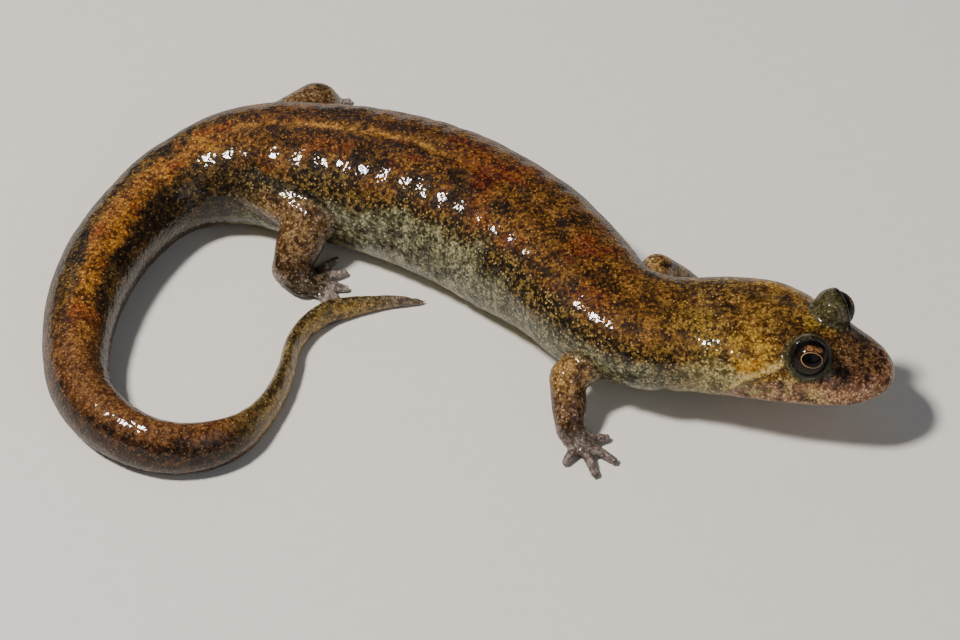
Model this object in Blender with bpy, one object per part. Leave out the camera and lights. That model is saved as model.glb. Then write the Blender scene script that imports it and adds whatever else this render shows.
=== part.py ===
"""Black mountain salamander, life size, at rest with its tail curled to its right.

Every size is in millimetres and turns to metres when a mesh is made. The frame has
+Z up and its origin in the middle of the bottom of the animal's box. Bearings are
degrees anticlockwise from +X, seen from above.
"""
import math

import bmesh
import bpy
import numpy as np
from mathutils import Matrix, Vector

MM = 0.001
GAP = 0.3           # clearance between pieces that touch
EYES = {"right": -1.0, "left": 1.0}

# The spine seen from above: distance from the snout and the bearing of the way to the tail
SNOUT = (36.6, -10.05)
BEARING = ((0, 156), (10, 156), (13, 163), (20, 176), (30, 121), (37, 131), (58, 163), (65, 165),
           (79, 233), (100, 276), (112, 338), (122, 415), (132, 445), (140, 384), (149, 360))
LENGTH = 148.6

# Sections of the body: distance from the snout, half width, and the heights above the
# floor of the back, of the widest line and of the belly
SECTIONS = np.array((
    (0.0, 3.5, 8.8, 7.6, 6.2),
    (3.0, 4.0, 9.3, 7.4, 5.5),
    (6.5, 4.95, 10.7, 7.2, 5.0),
    (10.5, 5.9, 11.3, 7.2, 4.6),
    (15.0, 6.15, 11.4, 6.9, 4.0),
    (20.0, 5.7, 11.0, 6.6, 3.1),
    (25.0, 5.8, 11.3, 6.5, 2.4),
    (30.0, 6.1, 11.8, 6.4, 1.6),
    (35.0, 6.6, 12.1, 6.2, 0.7),
    (40.0, 7.1, 12.4, 5.9, -0.1),
    (48.0, 7.2, 12.6, 5.8, -0.2),
    (57.0, 6.8, 12.1, 5.7, -0.2),
    (64.0, 6.3, 11.2, 5.4, -0.2),
    (70.0, 5.4, 9.9, 4.9, -0.15),
    (75.0, 4.4, 8.4, 4.2, -0.15),
    (80.0, 3.85, 7.7, 3.8, -0.15),
    (90.0, 3.55, 7.1, 3.4, -0.12),
    (100.0, 2.95, 6.1, 2.9, -0.1),
    (110.0, 2.4, 5.4, 2.5, -0.1),
    (118.0, 1.95, 4.8, 2.1, -0.1),
    (124.5, 1.15, 3.3, 1.4, -0.08),
    (132.0, 0.8, 2.7, 1.1, -0.08),
    (138.0, 0.78, 2.9, 1.1, -0.08),
    (143.0, 0.55, 1.95, 0.8, -0.08),
    (LENGTH, 0.28, 0.65, 0.3, -0.05),
))
SNOUT_ROUND = (4.0, 3.0)      # how far back the rounding of the snout runs, across and upright
TIP_ROUND = 1.6               # the same for the tip of the tail
# Squareness of the upper and lower half of a section: 2 is an ellipse, less is a keel
SQUARENESS = np.array((
    (0.0, 1.9, 2.3), (9.0, 2.1, 2.4), (20.0, 2.3, 2.4), (45.0, 2.2, 2.3), (75.0, 2.1, 2.2),
    (105.0, 1.9, 2.2), (125.0, 1.5, 2.1), (LENGTH, 1.5, 2.0),
))

# Costal grooves on the flank, between the arm and the leg
GROOVES = 14
GROOVE_SPAN = (33.5, 64.0)
GROOVE_DEPTH = 0.3
GROOVE_WIDTH = 0.5
BACK_FURROW = 0.25            # depth of the furrow along the middle of the back
FURROW_WIDTH = 1.0

# The mouth: the height of its line along the head, which runs on behind the corner of the
# mouth, down and back, as the fold of the throat
MOUTH_LINE = np.array((
    (-1.5, 6.75), (1.0, 6.65), (5.0, 6.3), (10.0, 6.0), (13.5, 5.6),
    (15.5, 4.7), (18.0, 3.1), (19.2, 2.2),
))
MOUTH_CORNER = 13.5
UPPER_LIP = (0.26, 0.5)       # how far the lip stands out, and its height over the line
LOWER_LIP = (0.14, 0.45)
LIP_ROUND = 0.45

# Eyes, which sit high on the head; each looks outward, and forward and up by these degrees
EYE_PLACE = (6.85, 3.15, 10.65)   # distance from the snout, out from the midline, height
EYE_LOOK = {"right": (30.0, 32.0), "left": (40.0, 8.0)}
EYE_RADIUS = 1.8
EYE_GAP = 0.2
LID_THICKNESS = 0.3
LID_OPEN = 66.0               # degrees from the eye's axis to the lid's edge
LID_ROLL = 0.15               # radius of the rolled edge
NOSTRIL = (1.6, 1.65, 8.3)
NOSTRIL_RADIUS = 0.33

# Where the body and the tail are parted, as distances from the snout
TRUNK = (("neck", 20.0, 28.0), ("chest", 28.0, 41.0), ("abdomen", 41.0, 55.0),
         ("pelvis", 55.0, 72.0))
TAIL_CUTS = (72.0, 84.0, 96.0, 105.0, 113.0, 120.0, 132.0, LENGTH)
AROUND_HEAD = 40
AROUND_TRUNK = 28
AROUND_TAIL = 18

# Limbs. Each joint is (forward, outward, height) from the spine at the limb's girdle
SHOULDER = 26.0
HIP = 67.0
ARMS = {
    "right": {"root": (2.2, 2.6, 5.2), "elbow": (-0.5, 6.7, 5.0), "wrist": (2.0, 9.5, 1.5),
              "palm": (3.2, 9.7, 0.75), "turn": 15.0},
    "left": {"root": (0.4, 3.4, 5.5), "elbow": (-1.4, 8.6, 5.2), "wrist": (0.4, 11.6, 1.5),
             "palm": (1.5, 12.2, 0.75), "turn": 30.0},
}
LEGS = {
    "right": {"root": (0.4, 3.6, 6.1), "knee": (5.5, 7.1, 5.4), "ankle": (3.8, 10.1, 1.8),
              "palm": (5.3, 11.0, 0.8), "turn": 2.0},
    "left": {"root": (0.4, 3.6, 5.9), "knee": (4.2, 8.8, 5.0), "ankle": (2.7, 11.2, 1.8),
             "palm": (3.5, 12.3, 0.8), "turn": 40.0},
}
ARM_RADII = (1.75, 1.7, 1.65, 1.4)     # at the root, elbow, forearm and wrist
LEG_RADII = (2.4, 2.3, 2.25, 1.7)
HAND_SIZE = (1.5, 1.6, 0.85)         # half length, half width and half thickness
FOOT_SIZE = (2.2, 1.9, 0.95)
# Digits from the inner to the outer one: spread outward in degrees, and length
FINGERS = ((-70, 3.0), (-19, 4.1), (18, 4.3), (69, 3.0))
TOES = ((-57, 5.0), (-31, 4.5), (-1, 4.3), (21, 3.9), (39, 3.4))
DIGIT_RADII = (0.6, 0.52, 0.44)
DIGIT_ARCH = 0.3
LIMB_SIDES = 14
DIGIT_SIDES = 8
RING_STEP = 1.3               # between the rings of a limb, for each millimetre of radius

SKINS = {
    "head": ((0.20, 0.11, 0.035), 0.35),
    "jaw": ((0.52, 0.40, 0.27), 0.38),
    "trunk": ((0.13, 0.055, 0.022), 0.30),
    "tail": ((0.11, 0.048, 0.02), 0.32),
    "limb": ((0.12, 0.06, 0.035), 0.33),
    "foot": ((0.21, 0.16, 0.14), 0.38),
    "eye": ((0.012, 0.008, 0.006), 0.06),
}


def smooth(x, table, column):
    """Value of a table's column at x, on a smooth curve that doesn't overshoot."""
    xs, ys = table[:, 0], table[:, column]
    step = np.diff(xs)
    rise = np.diff(ys) / step
    same = rise[1:] * rise[:-1] > 0
    mean = 2 * rise[1:] * rise[:-1] / np.where(same, rise[1:] + rise[:-1], 1.0)
    slope = np.concatenate([rise[:1], np.where(same, mean, 0.0), rise[-1:]])
    x = np.clip(x, xs[0], xs[-1])
    k = np.clip(np.searchsorted(xs, x, side="right") - 1, 0, len(step) - 1)
    t = (x - xs[k]) / step[k]
    near = ys[k] * (1 + 2 * t) * (1 - t) ** 2 + ys[k + 1] * t * t * (3 - 2 * t)
    return near + step[k] * t * (1 - t) * (slope[k] * (1 - t) - slope[k + 1] * t)


def trace_spine(step=0.1):
    """Distances, places and bearings along the spine, summed from its bearings."""
    s = np.arange(0.0, LENGTH + 2 * step, step)
    stations, degrees = np.array(BEARING, float).T
    bearing = np.radians(np.interp(s, stations, degrees))
    middle = (bearing[1:] + bearing[:-1]) / 2
    x = SNOUT[0] + np.concatenate([[0.0], np.cumsum(np.cos(middle) * step)])
    y = SNOUT[1] + np.concatenate([[0.0], np.cumsum(np.sin(middle) * step)])
    return s, x, y, bearing


SPINE = trace_spine()


def place(s, side, height):
    """Point at a distance from the snout, a way to the animal's left and a height."""
    along, x, y, bearing = SPINE
    turn = np.interp(s, along, bearing)
    ahead = np.minimum(s, 0.0)
    left_x, left_y = np.sin(turn), -np.cos(turn)
    px = np.interp(s, along, x) + ahead * np.cos(turn) + side * left_x
    py = np.interp(s, along, y) + ahead * np.sin(turn) + side * left_y
    return np.stack([px, py, height + 0.0 * px], axis=-1)


def rounding(distance, reach):
    """Factor of a round end: 0 at the end, 1 from reach on, along a quarter ellipse."""
    t = np.clip(distance / reach, 0.0, 1.0)
    return np.sqrt(np.maximum(1 - (1 - t) ** 2, 0.0))


def bump(x, width):
    return np.exp(-(x / width) ** 2)


def body_surface(s, angle, grow=0.0):
    """Points of the skin at distance s and angle round the section, 0 at the left side."""
    half, back, widest, belly = (smooth(s, SECTIONS, k) for k in (1, 2, 3, 4))
    tip = rounding(LENGTH - s, TIP_ROUND)
    half = half * rounding(s, SNOUT_ROUND[0]) * tip + grow
    upright = rounding(s, SNOUT_ROUND[1]) * tip
    cosine, sine = np.cos(angle), np.sin(angle)
    upper = sine > 0
    reach = np.where(upper, back - widest, widest - belly) * upright + grow
    power = 2 / np.where(upper, smooth(s, SQUARENESS, 1), smooth(s, SQUARENESS, 2))
    side = half * np.sign(cosine) * np.abs(cosine) ** power
    height = widest + reach * np.sign(sine) * np.abs(sine) ** power
    if grow == 0.0:
        side, height = add_relief(s, side, height, cosine, sine)
    return place(s, side, height)


def add_relief(s, side, height, cosine, sine):
    """Lips, costal grooves and the furrow of the back, on the plain section."""
    line = smooth(s, MOUTH_LINE, 1)
    mouth = rounding(s, 2.0) * np.clip((MOUTH_CORNER + 1 - s) / 3.0, 0.0, 1.0)
    lip = UPPER_LIP[0] * bump(height - line - UPPER_LIP[1], LIP_ROUND)
    lip += LOWER_LIP[0] * bump(height - line + LOWER_LIP[1], LIP_ROUND)
    side = side + np.sign(cosine) * lip * mouth * np.abs(cosine) ** 0.5

    groove = sum(bump(s - place_of, GROOVE_WIDTH) for place_of in groove_places())
    flank = np.clip(np.abs(cosine) * 1.6 - 0.45, 0.0, 1.0)
    side = side - np.sign(cosine) * GROOVE_DEPTH * groove * flank

    along_back = np.clip((s - 7.0) / 4.0, 0.0, 1.0) * np.clip((88.0 - s) / 20.0, 0.0, 1.0)
    furrow = BACK_FURROW * bump(side, FURROW_WIDTH) * along_back
    return side, np.maximum(height - np.where(sine > 0, furrow, 0.0), 0.0)


def mesh_object(name, mesh, skin):
    """Object of a mesh in millimetres, in metres and with its own material."""
    mesh.transform(Matrix.Scale(MM, 4))
    mesh.shade_smooth()
    mesh.set_sharp_from_angle(angle=math.radians(40))
    piece = bpy.data.objects.new(name, mesh)
    colour, roughness = SKINS[skin]
    material = bpy.data.materials.new(name + "_skin")
    material.use_nodes = True
    shader = material.node_tree.nodes["Principled BSDF"]
    shader.inputs["Base Color"].default_value = (*colour, 1.0)
    shader.inputs["Roughness"].default_value = roughness
    shader.inputs["Metallic"].default_value = 0.0
    mesh.materials.append(material)
    bpy.context.scene.collection.objects.link(piece)
    return piece


def loft(rings, first_pole=None, last_pole=None):
    """Closed mesh through rings of points, with a pole or a flat face at each end."""
    count, around = rings.shape[:2]
    corners = [tuple(p) for p in rings.reshape(-1, 3)]
    faces = []
    for i in range(count - 1):
        for j in range(around):
            k = (j + 1) % around
            faces.append((i * around + j, i * around + k,
                          (i + 1) * around + k, (i + 1) * around + j))
    ends = ((first_pole, 0, False), (last_pole, (count - 1) * around, True))
    for pole, base, forward in ends:
        ring = [base + j for j in range(around)]
        if pole is None:
            faces.append(ring if forward else ring[::-1])
            continue
        corners.append(tuple(pole))
        for j in range(around):
            pair = (ring[j], ring[(j + 1) % around])
            faces.append((*(pair if forward else pair[::-1]), len(corners) - 1))
    mesh = bpy.data.meshes.new("loft")
    mesh.from_pydata(corners, [], faces)
    return outward(mesh)


def outward(mesh):
    """The mesh in triangles, with its faces turned outward."""
    work = bmesh.new()
    work.from_mesh(mesh)
    bmesh.ops.triangulate(work, faces=work.faces)
    bmesh.ops.recalc_face_normals(work, faces=work.faces)
    work.to_mesh(mesh)
    work.free()
    return mesh


def groove_places():
    return np.linspace(*GROOVE_SPAN, GROOVES)


def trunk_stations(start, end, spacing):
    """Distances of the rings of a length: close at each costal groove, even elsewhere."""
    grooves = groove_places()
    shoulder = 1.1 * GROOVE_WIDTH
    rings = np.concatenate([grooves - shoulder, grooves, grooves + shoulder])
    room = 0.35
    inside = rings[(rings > start + room) & (rings < end - room)]
    knots = np.sort(np.concatenate([[start], inside, [end]]))
    steps = np.maximum(1, np.round(np.diff(knots) / spacing).astype(int))
    lengths = [np.linspace(a, b, n, endpoint=False)
               for a, b, n in zip(knots[:-1], knots[1:], steps)]
    return np.concatenate([*lengths, [end]])


def body_length(start, end, around, spacing, grow=0.0):
    """Closed length of the body between two distances from the snout."""
    count = max(2, round((end - start) / spacing) + 1)
    s = trunk_stations(start, end, spacing)
    poles = [None, None]
    if start == 0.0:
        front = SNOUT_ROUND[0] * (1 - np.cos(np.linspace(0, np.pi / 2, 9)[1:]))
        s = np.concatenate([front, np.linspace(front[-1], end, count - 4)[1:]])
        poles[0] = place(0.0, 0.0, SECTIONS[0, 3])
    if end == LENGTH:
        last = LENGTH - TIP_ROUND * (1 - np.cos(np.linspace(np.pi / 2, 0, 6)[:-1]))
        s = np.concatenate([np.linspace(start, last[0], count - 1)[:-1], last])
        poles[1] = place(LENGTH, 0.0, SECTIONS[-1, 3])
    angle = np.arange(around) * 2 * np.pi / around
    return loft(body_surface(s[:, None], angle[None, :], grow), *poles)


def solid_of(mesh):
    """Scratch object that lends its mesh to a Boolean."""
    piece = bpy.data.objects.new("tool", mesh)
    bpy.context.scene.collection.objects.link(piece)
    return piece


def combine(mesh, tools, operation, solver="EXACT"):
    """Mesh joined with, or cut by, closed meshes; its largest closed surface is kept."""
    base = solid_of(mesh)
    group = bpy.data.collections.new("tools")
    bpy.context.scene.collection.children.link(group)
    pieces = [bpy.data.objects.new("tool", tool) for tool in tools]
    for piece in pieces:
        group.objects.link(piece)
    boolean = base.modifiers.new("join", "BOOLEAN")
    boolean.operation = operation
    boolean.solver = solver
    boolean.operand_type = "COLLECTION"
    boolean.collection = group
    graph = bpy.context.evaluated_depsgraph_get()
    result = bpy.data.meshes.new_from_object(base.evaluated_get(graph))
    for piece in (base, *pieces):
        bpy.data.objects.remove(piece)
    bpy.data.collections.remove(group)
    return keep_largest(in_order(result))


def in_order(mesh):
    """The same faces, listed in an order that doesn't depend on how they were found."""
    corners = [tuple(round(c, 6) for c in v.co) for v in mesh.vertices]
    order = sorted(range(len(corners)), key=corners.__getitem__)
    place_in_order = {old: new for new, old in enumerate(order)}
    faces = []
    for face in mesh.polygons:
        ring = [place_in_order[v] for v in face.vertices]
        first = ring.index(min(ring))
        faces.append(tuple(ring[first:] + ring[:first]))
    ordered = bpy.data.meshes.new("ordered")
    ordered.from_pydata([corners[k] for k in order], [], sorted(faces))
    return ordered


def keep_largest(mesh):
    """The mesh with only its largest closed surface."""
    work = bmesh.new()
    work.from_mesh(mesh)
    bmesh.ops.remove_doubles(work, verts=work.verts, dist=0.002)
    bmesh.ops.dissolve_degenerate(work, edges=work.edges, dist=0.001)
    bmesh.ops.triangulate(work, faces=work.faces)
    left = set(work.verts)
    shells = []
    while left:
        shell, front = set(), [left.pop()]
        while front:
            corner = front.pop()
            shell.add(corner)
            near = [e.other_vert(corner) for e in corner.link_edges]
            fresh = [v for v in near if v in left]
            left.difference_update(fresh)
            front.extend(fresh)
        shells.append(shell)
    shells.sort(key=len)
    scraps = [v for shell in shells[:-1] for v in shell]
    bmesh.ops.delete(work, geom=scraps, context="VERTS")
    bmesh.ops.recalc_face_normals(work, faces=work.faces)
    work.to_mesh(mesh)
    work.free()
    return mesh


def ball(centre, radii, turn=None, rings=12, around=18):
    """Ellipsoid, turned by a matrix."""
    work = bmesh.new()
    bmesh.ops.create_uvsphere(work, u_segments=around, v_segments=rings, radius=1.0)
    turn = turn or Matrix.Identity(3)
    shape = Matrix.Translation(centre) @ turn.to_4x4() @ Matrix.Diagonal((*radii, 1.0))
    bmesh.ops.transform(work, matrix=shape, verts=work.verts)
    mesh = bpy.data.meshes.new("ball")
    work.to_mesh(mesh)
    work.free()
    return outward(mesh)


def jaw_block(shift):
    """Block that holds all below the line of the mouth, raised by a shift."""
    s = np.arange(MOUTH_LINE[0, 0], MOUTH_LINE[-1, 0] + 0.01, 0.7)
    line = smooth(s, MOUTH_LINE, 1) + shift
    wide = 9.0
    floor = np.full_like(s, -2.0)
    corners = ((-wide, line), (-wide, floor), (wide, floor), (wide, line))
    return loft(np.stack([place(s, side, height) for side, height in corners], axis=1))


def eye_turn(name):
    """Rotation that turns +Z to an eye's line of sight."""
    forward, up = (math.radians(angle) for angle in EYE_LOOK[name])
    heading = math.radians(BEARING[0][1]) + math.pi + EYES[name] * (math.pi / 2 - forward)
    sight = Vector((math.cos(heading) * math.cos(up), math.sin(heading) * math.cos(up),
                    math.sin(up)))
    return sight.to_track_quat("Z", "Y").to_matrix()


def eye_centre(name):
    along, out, height = EYE_PLACE
    return Vector(place(along, EYES[name] * out, height))


def lid_ring(name):
    """The rolled edge of the lids, a ring round the opening of the eye."""
    reach = EYE_RADIUS + EYE_GAP + LID_THICKNESS / 2
    open_angle = math.radians(LID_OPEN)
    radius = reach * math.sin(open_angle)
    along, around = 20, 6
    theta = np.arange(along) * 2 * np.pi / along
    phi = np.arange(around) * 2 * np.pi / around
    out = radius + LID_ROLL * np.cos(phi)[None, :]
    local = np.stack([out * np.cos(theta)[:, None], out * np.sin(theta)[:, None],
                      reach * math.cos(open_angle) + LID_ROLL * np.sin(phi)[None, :]
                      + 0.0 * theta[:, None]], axis=-1)
    points = local @ np.array(eye_turn(name)).T + np.array(eye_centre(name))
    mesh = bpy.data.meshes.new("ring")
    faces = []
    for i in range(along):
        here, there = i * around, (i + 1) % along * around
        for j in range(around):
            k = (j + 1) % around
            faces.append((here + j, here + k, there + k, there + j))
    mesh.from_pydata([tuple(p) for p in points.reshape(-1, 3)], [], faces)
    return outward(mesh)


def lid_opening(name):
    """Cone from the middle of the eye that clears the view between the lids."""
    length = 2.6
    open_angle = math.radians(LID_OPEN - 4.0)
    depth = length * math.cos(open_angle)
    work = bmesh.new()
    bmesh.ops.create_cone(work, cap_ends=True, segments=24, radius1=0.05,
                          radius2=length * math.sin(open_angle), depth=depth)
    turn = eye_turn(name)
    middle = eye_centre(name) + turn @ Vector((0.0, 0.0, depth / 2))
    shape = Matrix.Translation(middle) @ turn.to_4x4()
    bmesh.ops.transform(work, matrix=shape, verts=work.verts)
    mesh = bpy.data.meshes.new("opening")
    work.to_mesh(mesh)
    work.free()
    return outward(mesh)


def build_head():
    """Head with its lids, nostrils and upper lip, and the lower jaw under it."""
    whole = body_length(0.0, TRUNK[0][1] - GAP / 2, AROUND_HEAD, 0.8)
    jaw = combine(whole.copy(), [jaw_block(-GAP / 2)], "INTERSECT")
    domes, openings = [], []
    lid = EYE_RADIUS + EYE_GAP + LID_THICKNESS
    socket = EYE_RADIUS + EYE_GAP
    along, out, height = NOSTRIL
    for name, side in EYES.items():
        centre, turn = eye_centre(name), eye_turn(name)
        domes += [ball(centre, (lid,) * 3, turn, 12, 20), lid_ring(name)]
        openings += [ball(centre, (socket,) * 3, turn, 12, 20), lid_opening(name)]
        nostril = place(along, side * out, height)
        openings.append(ball(nostril, (NOSTRIL_RADIUS,) * 3, None, 6, 8))
    head = combine(whole, domes, "UNION")
    head = combine(head, [jaw_block(GAP / 2), *openings], "DIFFERENCE")
    mesh_object("head", head, "head")
    mesh_object("lower_jaw", jaw, "jaw")
    for name in EYES:
        eye = ball(eye_centre(name), (EYE_RADIUS,) * 3, eye_turn(name), 10, 16)
        mesh_object("eye_" + name, eye, "eye")


def build_trunk():
    for name, start, end in TRUNK:
        mesh = body_length(start + GAP / 2, end - GAP / 2, AROUND_TRUNK, 1.3)
        mesh_object(name, mesh, "trunk")


def build_tail():
    for k, (start, end) in enumerate(zip(TAIL_CUTS[:-1], TAIL_CUTS[1:])):
        stop = end if end == LENGTH else end - GAP / 2
        mesh = body_length(start + GAP / 2, stop, AROUND_TAIL, 1.5)
        mesh_object(f"tail_{k + 1}", mesh, "tail")


def limb_point(girdle, side, joint):
    """World place of a joint that is given from the spine at its girdle."""
    forward, outward_way, height = joint
    bearing = np.interp(girdle, SPINE[0], SPINE[3])
    base = place(girdle, side * outward_way, height)
    ahead = np.array((-math.cos(bearing), -math.sin(bearing), 0.0))
    return base + forward * ahead


def tube(points, radii, sides, grow=0.0, flat=1.0):
    """Round-ended tube along a smooth path, with a radius at each point."""
    points, radii = np.array(points, float), np.array(radii, float) + grow
    steps = np.linalg.norm(np.diff(points, axis=0), axis=1)
    along = np.concatenate([[0.0], np.cumsum(steps)])
    table = np.column_stack([along, points, radii])
    total, first, last = along[-1], radii[0], radii[-1]
    count = max(3, round(total / (RING_STEP * radii.mean())))
    middle = np.linspace(0.0, total, count)
    curve = np.column_stack([smooth(middle, table, k) for k in (1, 2, 3, 4)])
    tangent = np.gradient(curve[:, :3], axis=0)
    tangent /= np.linalg.norm(tangent, axis=1)[:, None]
    bend = np.linspace(0.0, np.pi / 2, 4)[1:-1]
    front = [(curve[0, :3] - tangent[0] * first * np.cos(b), tangent[0], first * np.sin(b))
             for b in bend]
    body = [(row[:3], t, row[3]) for row, t in zip(curve, tangent)]
    rear = [(curve[-1, :3] + tangent[-1] * last * np.cos(b), tangent[-1], last * np.sin(b))
            for b in bend[::-1]]
    theta = np.arange(sides) * 2 * np.pi / sides
    rings = []
    for centre, direction, radius in front + body + rear:
        across = np.cross(direction, (0.0, 0.0, 1.0))
        across /= np.linalg.norm(across)
        over = np.cross(across, direction)
        rings.append(centre + radius * (np.cos(theta)[:, None] * across
                                        + flat * np.sin(theta)[:, None] * over))
    poles = (curve[0, :3] - tangent[0] * first, curve[-1, :3] + tangent[-1] * last)
    return loft(np.array(rings), *poles)


def digit(start, heading, length, height):
    """A finger or toe: a slim tube that arches a little and ends on its blunt tip."""
    way = np.array((math.cos(heading), math.sin(heading), 0.0))
    root, middle, tip = DIGIT_RADII
    points = [start, start + way * length * 0.5, start + way * (length - tip)]
    points[0][2] = height * 0.8
    points[1][2] = middle + DIGIT_ARCH * 0.5
    points[2][2] = tip - 0.06
    return tube(points, (root, middle, tip), DIGIT_SIDES)


def build_limb(girdle, side_name, joints, radii, names, size, digits, body):
    """Upper and lower length of a limb and its foot, each cut clear of what carries it."""
    side = EYES[side_name]
    middle_name = "elbow" if "elbow" in joints else "knee"
    end_name = "wrist" if "wrist" in joints else "ankle"
    root, bend, end, palm = (limb_point(girdle, side, joints[key])
                             for key in ("root", middle_name, end_name, "palm"))
    upper_path = ([root, (root + bend) / 2, bend], (radii[0], (radii[0] + radii[1]) / 2, radii[1]))
    swell = (bend + end) / 2
    lower_path = ([bend, swell, end], (radii[1] * 0.92, radii[2], radii[3]))
    upper = combine(tube(*upper_path, LIMB_SIDES), [body], "DIFFERENCE")
    upper_room = tube(*upper_path, LIMB_SIDES, GAP)
    lower = combine(tube(*lower_path, LIMB_SIDES), [upper_room, body], "DIFFERENCE")
    lower_room = tube(*lower_path, LIMB_SIDES, GAP)

    bearing = np.interp(girdle, SPINE[0], SPINE[3]) + math.pi
    heading = bearing + side * math.radians(joints["turn"])
    turn = Matrix.Rotation(heading, 3, "Z")
    sole = ball(palm, size, turn, 8, 14)
    stub = tube([end, (end + palm) / 2, palm], (radii[3], radii[3] * 0.95, radii[3] * 0.7), 12)
    pieces = [stub]
    for spread, length in digits:
        pieces.append(digit(palm.copy(), heading + side * math.radians(spread), length, palm[2]))
    foot = combine(sole, pieces, "UNION")
    flatten(foot)
    foot = combine(foot, [lower_room], "DIFFERENCE")
    for name, mesh, skin in zip(names, (upper, lower, foot), ("limb", "limb", "foot")):
        mesh_object(f"{name}_{side_name}", mesh, skin)


def flatten(mesh):
    """Presses all that is below the floor up to it, as a flat sole."""
    for vertex in mesh.vertices:
        vertex.co.z = max(vertex.co.z, 0.0)


def build_limbs():
    for side_name in EYES:
        for girdle, limbs, radii, names, size, digits in (
                (SHOULDER, ARMS, ARM_RADII, ("upper_arm", "forearm", "hand"), HAND_SIZE, FINGERS),
                (HIP, LEGS, LEG_RADII, ("thigh", "shank", "foot"), FOOT_SIZE, TOES)):
            body = body_length(girdle - 14.0, girdle + 14.0, AROUND_TRUNK, 1.5, GAP)
            build_limb(girdle, side_name, limbs[side_name], radii, names, size, digits, body)


def centre_origin():
    """Moves every mesh so that the origin is in the middle of the bottom of the box."""
    pieces = [p for p in bpy.context.scene.collection.objects if p.type == "MESH"]
    corners = np.array([v.co[:] for p in pieces for v in p.data.vertices])
    low, high = corners.min(axis=0), corners.max(axis=0)
    shift = Matrix.Translation((-(low[0] + high[0]) / 2, -(low[1] + high[1]) / 2, -low[2]))
    for piece in pieces:
        piece.data.transform(shift)


def clear_scene():
    for item in list(bpy.data.objects):
        bpy.data.objects.remove(item, do_unlink=True)


clear_scene()
build_head()
build_trunk()
build_tail()
build_limbs()
centre_origin()
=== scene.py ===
# %% [markdown]
# # A black mountain salamander, life size
#
# The animal lies at rest with its head a little raised and its tail curled round to its
# right. The solids give its build. This lesson grows one wet skin over them, lays the
# markings on it, sets in the two eyes, and lights it as a small thing in a studio.
#
# The frame holds the solids in metres. Shapes are worked out here in millimetres, because
# an animal of 15 cm is easier to think about that way, and turned to metres at the end.

# %% Load the frame
import math

import bmesh
import bpy
import mathutils
import numpy as np
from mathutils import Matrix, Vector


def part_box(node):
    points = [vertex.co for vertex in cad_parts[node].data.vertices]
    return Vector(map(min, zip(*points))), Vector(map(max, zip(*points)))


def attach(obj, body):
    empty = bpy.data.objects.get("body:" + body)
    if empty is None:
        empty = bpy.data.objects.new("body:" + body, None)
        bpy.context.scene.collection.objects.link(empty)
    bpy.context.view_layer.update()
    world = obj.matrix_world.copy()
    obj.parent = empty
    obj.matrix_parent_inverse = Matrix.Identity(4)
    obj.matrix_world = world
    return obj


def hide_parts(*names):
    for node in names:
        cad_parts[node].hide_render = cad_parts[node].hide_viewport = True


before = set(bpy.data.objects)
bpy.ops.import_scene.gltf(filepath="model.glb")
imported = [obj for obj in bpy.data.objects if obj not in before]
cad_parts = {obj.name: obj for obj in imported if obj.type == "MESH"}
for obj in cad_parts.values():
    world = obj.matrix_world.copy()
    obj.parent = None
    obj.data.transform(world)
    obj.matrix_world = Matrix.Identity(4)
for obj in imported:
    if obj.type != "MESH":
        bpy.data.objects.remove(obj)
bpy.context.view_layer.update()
MM = 0.001
print("solids:", len(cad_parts), "nodes")

# %% [markdown]
# ## The line of the spine
#
# A salamander is a long body bent along a curve, so every place on its skin is easiest to
# name by how far along the spine it lies, how far out to the side, and how high. The spine
# seen from above is a list of bearings: at each distance from the snout, the compass
# direction of the way to the tail. Adding up small steps in those directions gives the
# curve. It is the same list that the solids were made from.

# %% A smooth curve through a table
def smooth(x, table, column):
    """A table's column at x: between two rows the value follows a cubic whose slope at each
    row is the harmonic mean of the slopes on its two sides, so it never overshoots."""
    xs, ys = table[:, 0], table[:, column]
    step = np.diff(xs)
    rise = np.diff(ys) / step
    same = rise[1:] * rise[:-1] > 0
    mean = 2 * rise[1:] * rise[:-1] / np.where(same, rise[1:] + rise[:-1], 1.0)
    slope = np.concatenate([rise[:1], np.where(same, mean, 0.0), rise[-1:]])
    x = np.clip(x, xs[0], xs[-1])
    k = np.clip(np.searchsorted(xs, x, side="right") - 1, 0, len(step) - 1)
    t = (x - xs[k]) / step[k]
    near = ys[k] * (1 + 2 * t) * (1 - t) ** 2 + ys[k + 1] * t * t * (3 - 2 * t)
    return near + step[k] * t * (1 - t) * (slope[k] * (1 - t) - slope[k + 1] * t)


def fade(x, low, high):
    """0 where x is under low, 1 over high, and t * t * (3 - 2 t) between them. With low
    over high it runs the other way."""
    t = np.clip((x - low) / (high - low), 0.0, 1.0)
    return t * t * (3 - 2 * t)


def bump(x, width):
    """A bell: e to the power of -(x / width) squared."""
    return np.exp(-(x / width) ** 2)


# %% The spine seen from above
SNOUT = (36.6, -10.05)
BEARING = ((0, 156), (10, 156), (13, 163), (20, 176), (30, 121), (37, 131), (58, 163), (65, 165),
           (79, 233), (100, 276), (112, 338), (122, 415), (132, 445), (140, 384), (149, 360))
LENGTH = 148.6
STEP = 0.1
ALONG = np.arange(0.0, LENGTH + 2 * STEP, STEP)
TURN = np.radians(np.interp(ALONG, *np.array(BEARING, float).T))
HALFWAY = (TURN[1:] + TURN[:-1]) / 2
SPINE_X = SNOUT[0] + np.concatenate([[0.0], np.cumsum(np.cos(HALFWAY) * STEP)])
SPINE_Y = SNOUT[1] + np.concatenate([[0.0], np.cumsum(np.sin(HALFWAY) * STEP)])


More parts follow.
